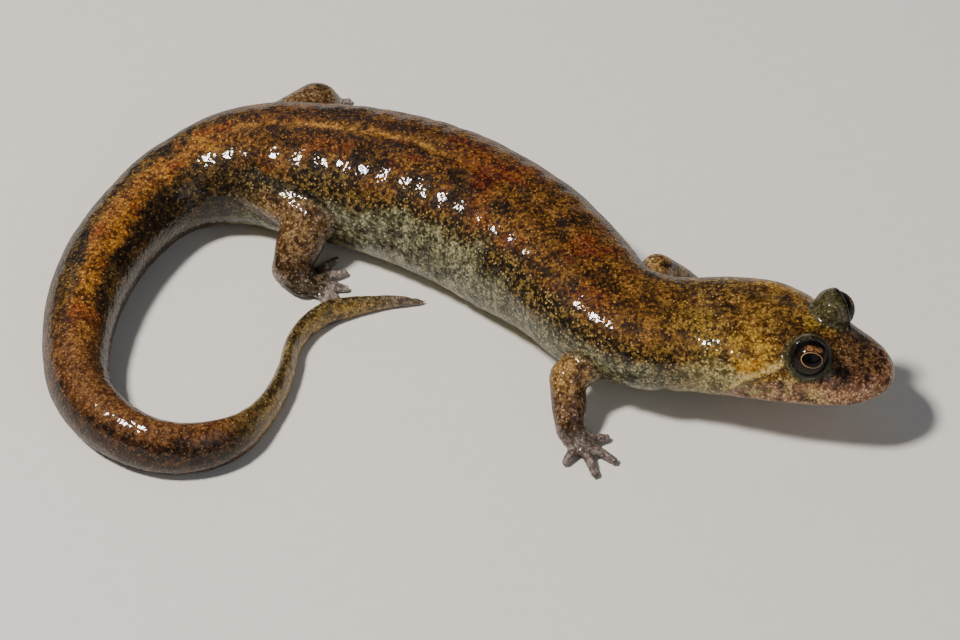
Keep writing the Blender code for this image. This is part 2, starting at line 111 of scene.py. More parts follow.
def place(s, side, height):
    """The spine's point at s, plus side times the unit way to the animal's left, at a
    height over the floor."""
    turn = np.interp(s, ALONG, TURN)
    x = np.interp(s, ALONG, SPINE_X) + side * np.sin(turn)
    y = np.interp(s, ALONG, SPINE_Y) - side * np.cos(turn)
    return np.stack([x, y, height + 0.0 * x], axis=-1)


print("spine:", len(ALONG), "points over", LENGTH, "mm")

# %% Where the frame's origin lies
EYE_PLACE = (6.85, 3.15, 10.65)  # from the snout, out from the midline, height
SIDES = {"right": -1.0, "left": 1.0}
low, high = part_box("eye_right")
eye_middle = np.array((low + high) / 2) / MM
ORIGIN = eye_middle - place(EYE_PLACE[0], -EYE_PLACE[1], EYE_PLACE[2])
print("the spine's frame lies at", np.round(ORIGIN, 3), "mm in the frame of the solids")

# %% [markdown]
# ## The body, in sections
#
# Cut across, the body is a rounded box: a superellipse, which is an ellipse whose power is
# a little over 2. The table gives its half width and the heights of its back, its widest
# line and its belly at a row of distances from the snout. Under the keeled end of the tail
# the power of the upper half falls to 1.5, which makes a ridge. Sculpting would do as well,
# but a table can be measured, and corrected one number at a time.

# %% The table of sections
SECTIONS = np.array((
    (0.0, 3.5, 8.8, 7.6, 6.2), (3.0, 4.0, 9.3, 7.4, 5.5), (6.5, 4.95, 10.7, 7.2, 5.0),
    (10.5, 5.9, 11.3, 7.2, 4.6), (15.0, 6.15, 11.4, 6.9, 4.0), (20.0, 5.7, 11.0, 6.6, 3.1),
    (25.0, 5.8, 11.3, 6.5, 2.4), (30.0, 6.1, 11.8, 6.4, 1.6), (35.0, 6.6, 12.1, 6.2, 0.7),
    (40.0, 7.1, 12.4, 5.9, -0.1), (48.0, 7.2, 12.6, 5.8, -0.2), (57.0, 6.8, 12.1, 5.7, -0.2),
    (64.0, 6.3, 11.2, 5.4, -0.2), (70.0, 5.4, 9.9, 4.9, -0.15), (75.0, 4.4, 8.4, 4.2, -0.15),
    (80.0, 3.85, 7.7, 3.8, -0.15), (90.0, 3.55, 7.1, 3.4, -0.12), (100.0, 2.95, 6.1, 2.9, -0.1),
    (110.0, 2.4, 5.4, 2.5, -0.1), (118.0, 1.95, 4.8, 2.1, -0.1), (124.5, 1.15, 3.3, 1.4, -0.08),
    (132.0, 0.8, 2.7, 1.1, -0.08), (138.0, 0.78, 2.9, 1.1, -0.08), (143.0, 0.55, 1.95, 0.8, -0.08),
    (LENGTH, 0.28, 0.65, 0.3, -0.05),
))
HALF, BACK, WIDEST, BELLY = 1, 2, 3, 4  # the table's columns
SQUARENESS = np.array((
    (0.0, 1.9, 2.3), (9.0, 2.1, 2.4), (20.0, 2.3, 2.4), (45.0, 2.2, 2.3), (75.0, 2.1, 2.2),
    (105.0, 1.9, 2.2), (125.0, 1.5, 2.1), (LENGTH, 1.5, 2.0),
))
SNOUT_ROUND = (4.0, 3.0)  # length of the snout's rounding, across and upright
TIP_ROUND = 1.6
print("sections:", len(SECTIONS), "rows, widest", 2 * SECTIONS[:, HALF].max(), "mm")


# %% A section at any place
def rounding(distance, reach):
    """The height of a quarter ellipse: 0 at the end of the body, 1 from reach on."""
    t = np.clip(distance / reach, 0.0, 1.0)
    return np.sqrt(np.maximum(1 - (1 - t) ** 2, 0.0))


def section(s, upper):
    """Half width, height of the widest line, reach over or under it, and power at s."""
    half, back, widest, belly = (smooth(s, SECTIONS, k) for k in (HALF, BACK, WIDEST, BELLY))
    tip = rounding(LENGTH - s, TIP_ROUND)
    half = half * rounding(s, SNOUT_ROUND[0]) * tip
    reach = np.where(upper, back - widest, widest - belly) * rounding(s, SNOUT_ROUND[1]) * tip
    power = np.where(upper, smooth(s, SQUARENESS, 1), smooth(s, SQUARENESS, 2))
    return half, widest, reach, power


def body_grid(s, angle):
    """side = half * cos(a) to the power 2 / n, height = widest + reach * sin(a) to the
    power 2 / n, each with its sign, set out from the spine at s."""
    cosine, sine = np.cos(angle), np.sin(angle)
    half, widest, reach, power = section(s, sine > 0)
    side = half * np.sign(cosine) * np.abs(cosine) ** (2 / power)
    height = widest + reach * np.sign(sine) * np.abs(sine) ** (2 / power)
    return place(s, side, height)


print("reach over the widest line at 48 mm:", section(48.0, True)[2].round(2), "mm")

# %% [markdown]
# ## From grids to closed meshes
#
# Each part of the body is a grid of points, ring after ring. A closed mesh needs the
# quads between neighbouring rings and a fan of triangles at each end. Their corner
# numbers are plain arithmetic on the grid's row and column, so numpy writes them all at
# once. The parts are then stacked into one list, ready to be melted together.

# %% Close a grid of rings with two poles
def closed_grid(grid, first_pole, last_pole):
    """Corners and faces of a tube of rings: quads (i, j) to (i + 1, j + 1), and triangles
    from each end ring to its pole."""
    rings, around = grid.shape[:2]
    corners = np.concatenate([grid.reshape(-1, 3), [first_pole, last_pole]])
    i, j = np.meshgrid(np.arange(rings - 1), np.arange(around), indexing="ij")
    k = (j + 1) % around
    quads = np.stack([i * around + j, i * around + k, (i + 1) * around + k,
                      (i + 1) * around + j], axis=-1).reshape(-1, 4)
    ring = np.arange(around)
    after = (ring + 1) % around
    base = (rings - 1) * around
    front = np.stack([ring, after, np.full(around, rings * around)], axis=-1)[:, ::-1]
    back = np.stack([base + ring, base + after, np.full(around, rings * around + 1)], axis=-1)
    return corners, quads, np.concatenate([front, back])


def stack(parts):
    """Several closed grids as one list of corners and faces."""
    corners, faces, count = [], [], 0
    for points, quads, triangles in parts:
        corners.append(points)
        faces += (quads + count).tolist() + (triangles + count).tolist()
        count += len(points)
    return np.concatenate(corners), faces


# %% The body's own tube
AROUND = 96
RING_STEP = 0.4
front = SNOUT_ROUND[0] * (1 - np.cos(np.linspace(0.0, np.pi / 2, 14)[1:]))
rear = LENGTH - TIP_ROUND * (1 - np.cos(np.linspace(np.pi / 2, 0.0, 8)[:-1]))
middle_rows = np.arange(front[-1] + RING_STEP, rear[0] - RING_STEP / 2, RING_STEP)
rows = np.concatenate([front, middle_rows, rear])
angles = np.arange(AROUND) * 2 * np.pi / AROUND
trunk = closed_grid(body_grid(rows[:, None], angles[None, :]),
                    place(0.0, 0.0, SECTIONS[0, WIDEST]), place(LENGTH, 0.0, SECTIONS[-1, WIDEST]))
print("body tube:", len(trunk[0]), "corners")

# %% [markdown]
# ## The legs, hands and feet
#
# A leg is a round-ended tube that swells at the muscle and is carried along a smooth path
# from the girdle over the knee to the ankle. A foot is a flat pad with the digits set
# round it as thin tubes: four on a hand, five on a foot. Joints are given as forward,
# outward and up from the spine at the girdle, so that the two sides are easy to compare.

# %% Places of the joints
SHOULDER, HIP = 26.0, 67.0
ARMS = {  # root, elbow, wrist, palm, and how far the hand is turned out
    "right": ((1.4, 2.4, 5.3), (-0.4, 6.8, 4.5), (2.0, 9.5, 1.5), (3.2, 9.7, 0.75), 15.0),
    "left": ((0.4, 3.4, 5.5), (-1.4, 8.6, 5.2), (0.4, 11.6, 1.5), (1.5, 12.2, 0.75), 30.0),
}
LEGS = {  # root, knee, ankle, sole, and how far the foot is turned out
    "right": ((0.4, 3.6, 6.1), (5.5, 7.1, 5.4), (3.8, 10.2, 1.6), (5.3, 11.0, 0.8), 2.0),
    "left": ((0.4, 3.6, 5.9), (4.2, 8.8, 5.0), (2.7, 11.3, 1.6), (3.5, 12.3, 0.8), 40.0),
}
ARM_RADII = (1.75, 1.7, 1.65, 1.4)  # root, bend, muscle, end
LEG_RADII = (2.4, 2.3, 2.25, 1.7)
HAND_SIZE, FOOT_SIZE = (1.5, 1.6, 0.85), (2.2, 1.9, 0.95)
FINGERS = ((-70, 3.0), (-19, 4.1), (18, 4.3), (69, 3.0))  # bearing, length
TOES = ((-57, 5.0), (-31, 4.5), (-1, 4.3), (21, 3.9), (39, 3.4))
DIGIT_RADII = (0.6, 0.52, 0.44)
TOE_ARCH, TIP_SUNK = 0.2, 0.04
WRIST_TAPER = (1.0, 0.95, 0.7)


def joint_place(girdle, side, joint):
    """The point forward, outward and up from the spine at a girdle."""
    forward, outward, height = joint
    turn = np.interp(girdle, ALONG, TURN)
    ahead = np.array((-np.cos(turn), -np.sin(turn), 0.0))
    return place(girdle, side * outward, height) + forward * ahead


print("digits:", 2 * len(FINGERS), "fingers and", 2 * len(TOES), "toes")

# %% A round-ended tube along a path
def path_samples(points, radii, step):
    """Points and radii at even steps of a smooth curve through the given ones."""
    points, radii = np.array(points, float), np.array(radii, float)
    steps = np.linalg.norm(np.diff(points, axis=0), axis=1)
    table = np.column_stack([np.concatenate([[0.0], np.cumsum(steps)]), points, radii])
    t = np.linspace(0.0, table[-1, 0], max(4, round(table[-1, 0] / step)))
    return np.column_stack([smooth(t, table, k) for k in (1, 2, 3, 4)])


def round_tube(points, radii, around=24):
    """Ring at t is centre(t) + r(t) * (cos a * across + sin a * over); past each end the
    centre runs on by r cos b while the radius falls as r sin b, a half ball."""
    rows = path_samples(points, radii, 0.25)
    way = np.gradient(rows[:, :3], axis=0)
    way /= np.linalg.norm(way, axis=1)[:, None]
    b = np.linspace(0.0, np.pi / 2, 6)[1:-1][:, None]
    first, last = rows[0, 3], rows[-1, 3]
    centre = np.concatenate([rows[0, :3] - first * np.cos(b) * way[0], rows[:, :3],
                             rows[-1, :3] + last * np.cos(b[::-1]) * way[-1]])
    radius = np.concatenate([first * np.sin(b), rows[:, 3:], last * np.sin(b[::-1])])
    ahead = np.concatenate([np.repeat(way[:1], len(b), 0), way, np.repeat(way[-1:], len(b), 0)])
    across = np.cross(ahead, (0.0, 0.0, 1.0))
    across /= np.linalg.norm(across, axis=1)[:, None]
    over = np.cross(across, ahead)
    a = np.arange(around)[None, :, None] * 2 * np.pi / around
    grid = centre[:, None] + radius[:, None] * (np.cos(a) * across[:, None]
                                                + np.sin(a) * over[:, None])
    return closed_grid(grid, rows[0, :3] - first * way[0], rows[-1, :3] + last * way[-1])


# %% Balls and pads
def ball(rings, around):
    """The angle b from the pole, and the directions (sin b cos a, sin b sin a, cos b)."""
    b = np.linspace(0.0, np.pi, rings + 2)[1:-1][:, None]
    a = np.arange(around)[None, :] * 2 * np.pi / around
    way = np.sin(b) * np.cos(a), np.sin(b) * np.sin(a), np.cos(b) + 0.0 * a
    return b, np.stack(way, axis=-1)


def pad(centre, size, heading, rings=20, around=32):
    """Ellipsoid: size times the directions of a ball, turned to its heading."""
    x, y, z = np.moveaxis(ball(rings, around)[1] * size, -1, 0)
    turned = np.stack([x * np.cos(heading) - y * np.sin(heading),
                       x * np.sin(heading) + y * np.cos(heading), z], axis=-1)
    up = np.array((0.0, 0.0, size[2]))
    return closed_grid(turned + centre, centre + up, centre - up)


print("corners of a pad:", len(pad(np.zeros(3), HAND_SIZE, 0.0)[0]))


# %% Build the four limbs
def digit_path(palm, heading, length):
    """Three points of a toe: over the edge of the pad, arched at the middle, tip down."""
    way = np.array((np.cos(heading), np.sin(heading), 0.0))
    ground = palm * (1.0, 1.0, 0.0)
    _, middle, tip = DIGIT_RADII
    return (ground + (0, 0, palm[2] * 0.8),
            ground + way * length * 0.5 + (0, 0, middle + TOE_ARCH),
            ground + way * (length - tip) + (0, 0, tip - TIP_SUNK))


limb_parts, limb_lines, PALMS = [], [], []
for girdle, limbs, radii, size, digits in ((SHOULDER, ARMS, ARM_RADII, HAND_SIZE, FINGERS),
                                           (HIP, LEGS, LEG_RADII, FOOT_SIZE, TOES)):
    for name, side in SIDES.items():
        *joints, turned = limbs[name]
        root, bend, end, palm = (joint_place(girdle, side, joint) for joint in joints)
        upper, lower = (root + bend) / 2, (bend + end) / 2
        heading = np.interp(girdle, ALONG, TURN) + np.pi + side * math.radians(turned)
        paths = [((root, upper, bend), (radii[0], (radii[0] + radii[1]) / 2, radii[1])),
                 ((bend, lower, end), radii[1:]),
                 ((end, (end + palm) / 2, palm), [radii[3] * share for share in WRIST_TAPER])]
        for spread, length in digits:
            way = heading + side * math.radians(spread)
            paths.append((digit_path(palm, way, length), DIGIT_RADII))
        limb_parts += [round_tube(*path) for path in paths] + [pad(palm, size, heading)]
        limb_lines += [path_samples(*path, 0.5) for path in paths]
        PALMS.append(palm)
LIMB_LINE = np.concatenate(limb_lines)
PALMS = np.array(PALMS)
print("limbs:", len(limb_parts), "tubes and pads")

# %% [markdown]
# ## The eyes' domes
#
# The eyes of this animal stand high on the head, each in a round dome of skin with a
# rolled rim. A ball joined to the head makes the dome now. Its rim is shaped later, when
# the skin is fine enough to hold it.

# %% Where the eyes look
EYE_RADIUS = 1.8
LID_RADIUS = 2.0
EYE_LOOK = {"right": (30.0, 32.0), "left": (45.0, 5.0)}  # degrees forward, degrees up


def eye_frame(name):
    """Middle of an eye, its line of sight, the way forward across it and the way up."""
    forward, up = (math.radians(angle) for angle in EYE_LOOK[name])
    heading = TURN[0] + np.pi + SIDES[name] * (np.pi / 2 - forward)
    sight = np.array((math.cos(heading) * math.cos(up), math.sin(heading) * math.cos(up),
                      math.sin(up)))
    ahead = -np.array((math.cos(TURN[0]), math.sin(TURN[0]), 0.0))
    ahead -= sight * (ahead @ sight)
    ahead /= np.linalg.norm(ahead)
    brow = np.cross(ahead, sight) * SIDES[name]
    middle = place(EYE_PLACE[0], SIDES[name] * EYE_PLACE[1], EYE_PLACE[2])
    return middle, sight, ahead, brow


EYES = {name: eye_frame(name) for name in SIDES}


def eye_distances(points):
    """How far the points lie from the middle of each eye: one row for an eye."""
    return np.stack([np.linalg.norm(points - eye[0], axis=1) for eye in EYES.values()])


domes = [pad(eye[0], (LID_RADIUS,) * 3, 0.0, 30, 48) for eye in EYES.values()]
print("eye domes:", len(domes))

# %% [markdown]
# ## One skin over all
#
# A real skin has no seams, so the overlapping tubes are melted into one surface. The Remesh
# modifier in its voxel mode does that: it fills the shapes with small cubes, and wraps
# them in a closed net of even faces. Joining them with Boolean would keep a hard line at
# every leg. The net is a bit stepped, so its corners are then moved towards the mean of
# their neighbours, and partly back again, which takes the steps away and keeps the volume.

# %% Melt the parts together
VOXEL = 0.34


def melt(corners, faces):
    """The closed shapes as one voxel skin, in a new mesh."""
    mesh = bpy.data.meshes.new("melt")
    mesh.from_pydata(corners.tolist(), [], faces)
    mesh.update()
    body = bpy.data.objects.new("melt", mesh)
    bpy.context.scene.collection.objects.link(body)
    remesh = body.modifiers.new("skin", "REMESH")
    remesh.mode = "VOXEL"
    remesh.voxel_size = VOXEL
    graph = bpy.context.evaluated_depsgraph_get()
    skin = bpy.data.meshes.new_from_object(body.evaluated_get(graph))
    bpy.data.objects.remove(body)
    return skin


skin_mesh = melt(*stack([trunk, *limb_parts, *domes]))
print("melted skin:", len(skin_mesh.polygons), "faces")

# %% [markdown]
# The head, the hands and the feet carry finer forms than the flank: lips, lids and
# fingertips. Their faces are cut in four, and round the rims of the eyes and along the
# mouth once more.

# %% The line of the mouth
MOUTH_LINE = np.array((  # from the snout, height of the line
    (-1.5, 6.75), (1.0, 6.65), (5.0, 6.3), (10.0, 6.0), (13.5, 5.6),
    (15.5, 4.7), (18.0, 3.1), (19.2, 2.2),
))
MOUTH_CORNER = 13.5
print("line of the mouth:", len(MOUTH_LINE), "points")

# %% Where a point lies on the body
COARSE, FINE = 20, 30  # steps of the spine: 2 mm, and 3 mm to each side
CLEAR_OF_BACK, COST_PER_MM = 2.0, 4.0
CHUNK = 20000  # points at a time, to save memory


def nearest_on_spine(points):
    """Distance along the spine whose point is nearest. Where the tail lies beside the body
    the half width decides: distance less half width is smallest on the right one. The tip
    lies under the flank, so a place whose back is over 2 mm lower than the point is out.
    Then the place is found finely within 3 mm of it."""
    coarse = np.arange(0, len(ALONG), COARSE)
    half, back = smooth(ALONG[coarse], SECTIONS, HALF), smooth(ALONG[coarse], SECTIONS, BACK)
    fine = np.arange(-FINE, FINE + 1)
    found = []
    for chunk in np.array_split(points, max(1, len(points) // CHUNK)):
        gap = np.hypot(chunk[:, :1] - SPINE_X[coarse], chunk[:, 1:2] - SPINE_Y[coarse]) - half
        gap += COST_PER_MM * np.maximum(chunk[:, 2:3] - back - CLEAR_OF_BACK, 0.0)
        first = coarse[gap.argmin(axis=1)]
        near = np.clip(first[:, None] + fine, 0, len(ALONG) - 3)
        gap = np.hypot(chunk[:, :1] - SPINE_X[near], chunk[:, 1:2] - SPINE_Y[near])
        found.append(ALONG[near[np.arange(len(chunk)), gap.argmin(axis=1)]])
    return np.concatenate(found)


def side_of(points, s):
    """How far the points lie to the animal's left of the spine at s."""
    turn = np.interp(s, ALONG, TURN)
    return ((points[:, 0] - np.interp(s, ALONG, SPINE_X)) * np.sin(turn)
            - (points[:, 1] - np.interp(s, ALONG, SPINE_Y)) * np.cos(turn))


print("the palms lie at", nearest_on_spine(PALMS).round(1), "mm along the spine")

# %% Where detail is needed
FINE_HEAD = 17.0  # from the snout
FOOT_REACH, FOOT_HEIGHT = 5.6, 1.9
RIM_BAND, MOUTH_BAND = (1.2, 2.6), 0.4


def needs_detail(points, level):
    """Which points lie where the skin is cut in four: level 1 or, finer, level 2."""
    s = nearest_on_spine(points)
    from_eye = eye_distances(points)
    rim = (from_eye > RIM_BAND[0]) & (from_eye < RIM_BAND[1])
    seen = np.stack([(points - eye[0]) @ eye[1] for eye in EYES.values()]) > 0.1
    over_line = np.abs(points[:, 2] - smooth(s, MOUTH_LINE, 1))
    if level == 2:
        off_middle = np.abs(side_of(points, s)) > 0.2
        mouth = (s < MOUTH_CORNER + 1.0) & (over_line < MOUTH_BAND) & off_middle
        return mouth | (rim & seen).any(axis=0)
    palms = np.linalg.norm(points[:, None, :2] - PALMS[None, :, :2], axis=2).min(axis=1)
    foot = (palms < FOOT_REACH) & (points[:, 2] < FOOT_HEIGHT) & (points[:, 2] > -0.1)
    off_body = np.abs(side_of(points, s)) > smooth(s, SECTIONS, HALF) + 0.2
    return (s < FINE_HEAD) | (foot & off_body)


print("eyes need detail:", needs_detail(np.array([eye[0] for eye in EYES.values()]), 1))


# %% Cut the faces there
def cut_in_four(work, level):
    """Halves every edge of the faces that need detail, and fills each face with four."""
    middles = np.array([face.calc_center_median() for face in work.faces])
    work.faces.ensure_lookup_table()
    work.edges.ensure_lookup_table()
    chosen = np.flatnonzero(needs_detail(middles, level))
    numbers = np.unique([edge.index for k in chosen for edge in work.faces[k].edges])
    edges = [work.edges[k] for k in numbers]
    bmesh.ops.subdivide_edges(work, edges=edges, cuts=1, use_grid_fill=True)


def rework(mesh, change):
    """Opens a mesh as a bmesh, changes it and writes it back."""
    work = bmesh.new()
    work.from_mesh(mesh)
    change(work)
    work.to_mesh(mesh)
    work.free()


rework(skin_mesh, lambda work: cut_in_four(work, 1))
rework(skin_mesh, lambda work: cut_in_four(work, 2))
rework(skin_mesh, lambda work: bmesh.ops.triangulate(work, faces=work.faces))
print("skin cut finer:", len(skin_mesh.polygons), "triangles")

# %% Relax the net
def read_mesh(items, field, width, kind):
    """One field of a mesh's corners, edges or faces as an array, a row for each."""
    flat = np.empty(len(items) * width, dtype=kind)
    items.foreach_get(field, flat)
    return flat.reshape(-1, width)


def mean_of_neighbours(values, pairs):
    """Sum of each corner's neighbours over their number."""
    a, b = pairs.T
    count = np.bincount(a, minlength=len(values)) + np.bincount(b, minlength=len(values))
    total = np.stack([np.bincount(a, values[b, k], len(values))
                      + np.bincount(b, values[a, k], len(values)) for k in range(3)], axis=1)
    return total / count[:, None]


def relax(points, pairs, rounds, share=None, there=0.55, back=-0.57):
    """A step to the mean of the neighbours, then a little more than it back, each round."""
    share = 1.0 if share is None else share[:, None]
    for _ in range(rounds):
        for step in (there, back):
            points = points + share * step * (mean_of_neighbours(points, pairs) - points)
    return points


pairs = read_mesh(skin_mesh.edges, "vertices", 2, np.int64)
points = relax(read_mesh(skin_mesh.vertices, "co", 3, float), pairs, 10)
print("relaxed over", len(pairs), "edges")

# %% [markdown]
# ## Back to the exact form
#
# Melting and relaxing leave small errors. Away from the legs and the eyes each corner is
# put back on the section that it belongs to: its side and height over the widest line are
# divided by how far out of the section it lies. Near a leg this fades out, and there the
# relaxed net makes the soft fold where the limb grows from the body.

# %% Put the skin back on its sections
FIRST_SECTION = 0.6  # nearer to the snout's tip a section is too small to measure


def on_section(points, s):
    """To the left, over the widest line, and how far out of the section, which is
    ((side / half) to the n + (height / reach) to the n) to the 1 / n, or 1 on the skin.
    Then the half width, and the height as a share of the reach."""
    s = np.maximum(s, FIRST_SECTION)
    side = side_of(points, s)
    upright = points[:, 2] - smooth(s, SECTIONS, WIDEST)
    half, _, reach, power = section(s, upright > 0)
    out = ((np.abs(side) / half) ** power + (np.abs(upright) / reach) ** power) ** (1 / power)
    return side, upright, out, half, np.clip(upright / reach, -1.0, 1.0)


def from_limbs(points):
    """Distance from the nearest limb's skin: to its middle line, less its radius."""
    best = np.full(len(points), 99.0)
    for x, y, z, radius in LIMB_LINE:
        gap = np.sqrt((points[:, 0] - x) ** 2 + (points[:, 1] - y) ** 2
                      + (points[:, 2] - z) ** 2) - radius
        best = np.minimum(best, gap)
    return best


s = nearest_on_spine(points)
limb_gap = from_limbs(points)
to_eyes = eye_distances(points).min(axis=0)
side, upright, out, _, _ = on_section(points, s)
exact = place(s, side / out, smooth(s, SECTIONS, WIDEST) + upright / out)
trust = (fade(limb_gap, 0.5, 1.6) * fade(to_eyes, 2.4, 3.2) * fade(s, 0.8, 2.0)
         * fade(s, LENGTH - 0.8, LENGTH - 2.0) * fade(np.abs(out - 1.0), 0.3, 0.15))
points = points + trust[:, None] * (exact - points)
points = relax(points, pairs, 2, 1.0 - trust)
print("put back on the sections:", int((trust > 0.5).sum()), "of", len(points), "corners")

# %% [markdown]
# ## Folds, lips and grooves
#
# On this even skin the small forms are pushed in or out along its normals, each as a bell
# round a line or a point. Fourteen costal grooves mark the ribs between arm and leg. A
# furrow runs along the back. The mouth is a crease between two soft lips, and behind its
# corner the crease runs down as the fold of the throat. Behind the eye the jaw muscle
# swells, and slight random lumps keep the wet skin from looking cast. All depths and
# widths are in millimetres.

# %% Normals and soft lumps
def normals_of(points, faces):
    """The cross products of the faces round a corner, added up and made of length 1."""
    a, b, c = (points[faces[:, k]] for k in range(3))
    cross = np.cross(b - a, c - a)
    total = np.stack([sum(np.bincount(faces[:, k], cross[:, m], len(points))
                          for k in range(3)) for m in range(3)], axis=1)
    return total / np.maximum(np.linalg.norm(total, axis=1), 1e-12)[:, None]


LUMP_CELLS = 24  # the random grid repeats after so many cells


def lumps(points, size, seed):
    """Random values on the crossings of a grid of the given size, blended between them by
    t * t * (3 - 2 t) on each axis: smooth noise from -1 to 1."""
    table = np.random.default_rng(seed).uniform(-1.0, 1.0, (LUMP_CELLS,) * 3)
    cell = np.floor(points / size).astype(int)
    t = points / size - cell
    t = t * t * (3 - 2 * t)
    total = 0.0
    for x, y, z in np.ndindex(2, 2, 2):
        weight = np.prod(np.where((x, y, z), t, 1 - t), axis=1)
        total = total + weight * table[tuple(((cell + (x, y, z)) % LUMP_CELLS).T)]
    return total


# %% Ribs, grooves and the furrow of the back
GROOVES = np.linspace(33.5, 64.0, 14)
GROOVE_DEPTH, GROOVE_WIDTH, RIB_SWELL = 0.13, 0.4, 0.045
FURROW_DEPTH, FURROW_WIDTH = 0.22, 0.8
CREASE_DEPTH = 0.2  # where a limb grows from the body
skin_faces = read_mesh(skin_mesh.polygons, "vertices", 3, np.int64)
s = nearest_on_spine(points)
side, upright, _, half, rise = on_section(points, s)
aside = np.clip(np.abs(side) / half, 0.0, 1.0)
top_half = upright > 0
on_body = fade(limb_gap, 0.2, 1.4) * fade(to_eyes, 2.3, 2.9)

groove = bump(s[:, None] - GROOVES, GROOVE_WIDTH).sum(axis=1) * bump(rise, 0.5)
rib = -np.cos((s - GROOVES[0]) * 2 * np.pi / (GROOVES[1] - GROOVES[0]))
rib *= fade(s, 32.0, 34.0) * fade(s, 66.0, 64.0) * bump(rise - 0.87, 0.13) * fade(aside, 0.2, 0.5)
relief = on_body * (RIB_SWELL * rib - GROOVE_DEPTH * groove)
furrow = bump(side, FURROW_WIDTH) * fade(s, 7.0, 11.0) * fade(s, 88.0, 70.0) * top_half
crease = bump(limb_gap - 0.35, 0.3) * fade(s, 18.0, 20.0)
relief -= FURROW_DEPTH * furrow + CREASE_DEPTH * crease
print(f"grooves and furrow down to {relief.min():.2f} mm")

# %% Lips, throat and jaw
LIPS = ((0.5, 0.2), (-0.45, 0.12))  # height over the mouth's line, how far out
LIP_WIDTH, MOUTH_DEPTH, MOUTH_WIDTH = 0.4, 0.3, 0.13
THROAT_FOLDS = ((20.6, 0.22, 0.4), (23.4, 0.14, 0.45))  # place, depth, width
JAW_SWELL, TEMPLE_HOLLOW = 0.42, 0.12
over_line = points[:, 2] - smooth(s, MOUTH_LINE, 1)
mouth = fade(s, MOUTH_CORNER + 1.0, MOUTH_CORNER - 1.5)
fold = 0.45 * (1 - mouth) * fade(s, 19.6, 18.6)
for height, outward in LIPS:
    relief += mouth * outward * bump(over_line - height, LIP_WIDTH)
relief -= (mouth + fold) * MOUTH_DEPTH * bump(over_line, MOUTH_WIDTH) * fade(s, 20.0, 19.0)
lower = fade(rise, 0.55, 0.1) * on_body
for where, depth, width in THROAT_FOLDS:
    relief -= lower * depth * bump(s - where, width)
relief += JAW_SWELL * bump(s - 12.6, 2.7) * bump(rise - 0.42, 0.42) * fade(aside, 0.4, 0.8)
relief -= TEMPLE_HOLLOW * bump(s - 11.0, 3.5) * bump(aside - 0.42, 0.14) * top_half
print(f"jaw out to {relief.max():.2f} mm")

# %% Nostrils and slight lumps
NOSTRIL = (1.65, 1.65, 8.55)  # on this skin, which lies a little over the solid's here
PIT_DEPTH, PIT_WIDTH, PIT_RIM = 0.34, 0.3, 0.07
LUMPS = ((0.045, 1.7, 3), (0.025, 0.8, 4))  # height, size, seed


def from_pair(along, outward, height):
    """Distance to the nearer of two points that lie alike on both sides of the head."""
    pair = [place(along, way * outward, height) for way in SIDES.values()]
    return np.min([np.linalg.norm(points - spot, axis=1) for spot in pair], axis=0)


pit_gap = from_pair(*NOSTRIL)
relief += PIT_RIM * bump(pit_gap - 0.55, 0.2) - PIT_DEPTH * bump(pit_gap, PIT_WIDTH)
for height, size, seed in LUMPS:
    relief += (0.4 + 0.6 * on_body) * height * lumps(points, size, seed)
points = points + relief[:, None] * normals_of(points, skin_faces)
print(f"nearest corner to a nostril: {pit_gap.min():.2f} mm")
print(f"relief from {relief.min():.2f} to {relief.max():.2f} mm")

# %% [markdown]
# ## The rims of the eyes
#
# Round each eye the skin is a function of the angle from the line of sight alone: deep
# behind the eyeball in the middle, up over a thin rounded rim, and down the outside of the
# dome. Each corner keeps its direction from the eye's middle and takes its distance from
# that curve.

# %% Shape the rims
RIM = np.array((  # degrees from the line of sight, distance in mm
    (0.0, 1.5), (58.0, 1.55), (61.0, 1.72), (64.0, 1.9), (67.0, 1.99), (70.5, 2.02),
    (75.0, 2.01), (90.0, 2.0), (180.0, 2.0),
))
eye_angle = np.full(len(points), 180.0)
for middle, sight, _, _ in EYES.values():
    away = points - middle
    far = np.linalg.norm(away, axis=1)
    angle = np.degrees(np.arccos(np.clip(away @ sight / far, -1.0, 1.0)))
    near = fade(far, 3.1, 2.6)
    dome = fade(far, 2.35, 2.12) * fade(angle, 140.0, 110.0)
    take = np.maximum(near * fade(angle, 86.0, 74.0), dome)
    points = points + (take * (smooth(angle, RIM, 1) / far - 1))[:, None] * away
    eye_angle = np.where(near > 0, angle, eye_angle)
around_rim = fade(eye_angle, 68.0, 76.0) * fade(eye_angle, 125.0, 100.0)
points = relax(points, pairs, 2, around_rim, 0.5, -0.2)
points[:, 2] = np.maximum(points[:, 2], 0.0)
print("rims shaped, skin's highest corner at", round(points[:, 2].max(), 2), "mm")

# %% Write the skin into the scene
def add_piece(name, points, faces):
    """A piece from corners in millimetres in the spine's frame, at the frame's origin."""
    mesh = bpy.data.meshes.new(name)
    mesh.from_pydata(((points + ORIGIN) * MM).tolist(), [], faces)
    mesh.update()
    mesh.shade_smooth()
    piece = bpy.data.objects.new(name, mesh)
    bpy.context.scene.collection.objects.link(piece)
    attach(piece, "root")
    return piece


skin = add_piece("skin", points, skin_faces.tolist())
bpy.data.meshes.remove(skin_mesh)
flesh = [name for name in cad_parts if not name.startswith("eye_")]
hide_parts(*flesh)
print("skin:", len(skin.data.polygons), "triangles for", len(flesh), "nodes")

# %% [markdown]
# ## The markings
#
# Colours are written as sRGB hex, as a colour picker gives them, and one function turns
# them to the linear light that the renderer works with.
#
# The skin is painted the way a model maker paints it: coat over coat, each through a mask.
# A coat isn't one colour but four, because this skin is made of fine grains: the dark
# between the grains, the middle tone, the light of the grains, and the colour of a few
# bright flecks. The masks are worked out from where a corner lies on the body, and soft
# random patches break their edges. The four tones are stored on the corners, and the
# material picks among them grain by grain.

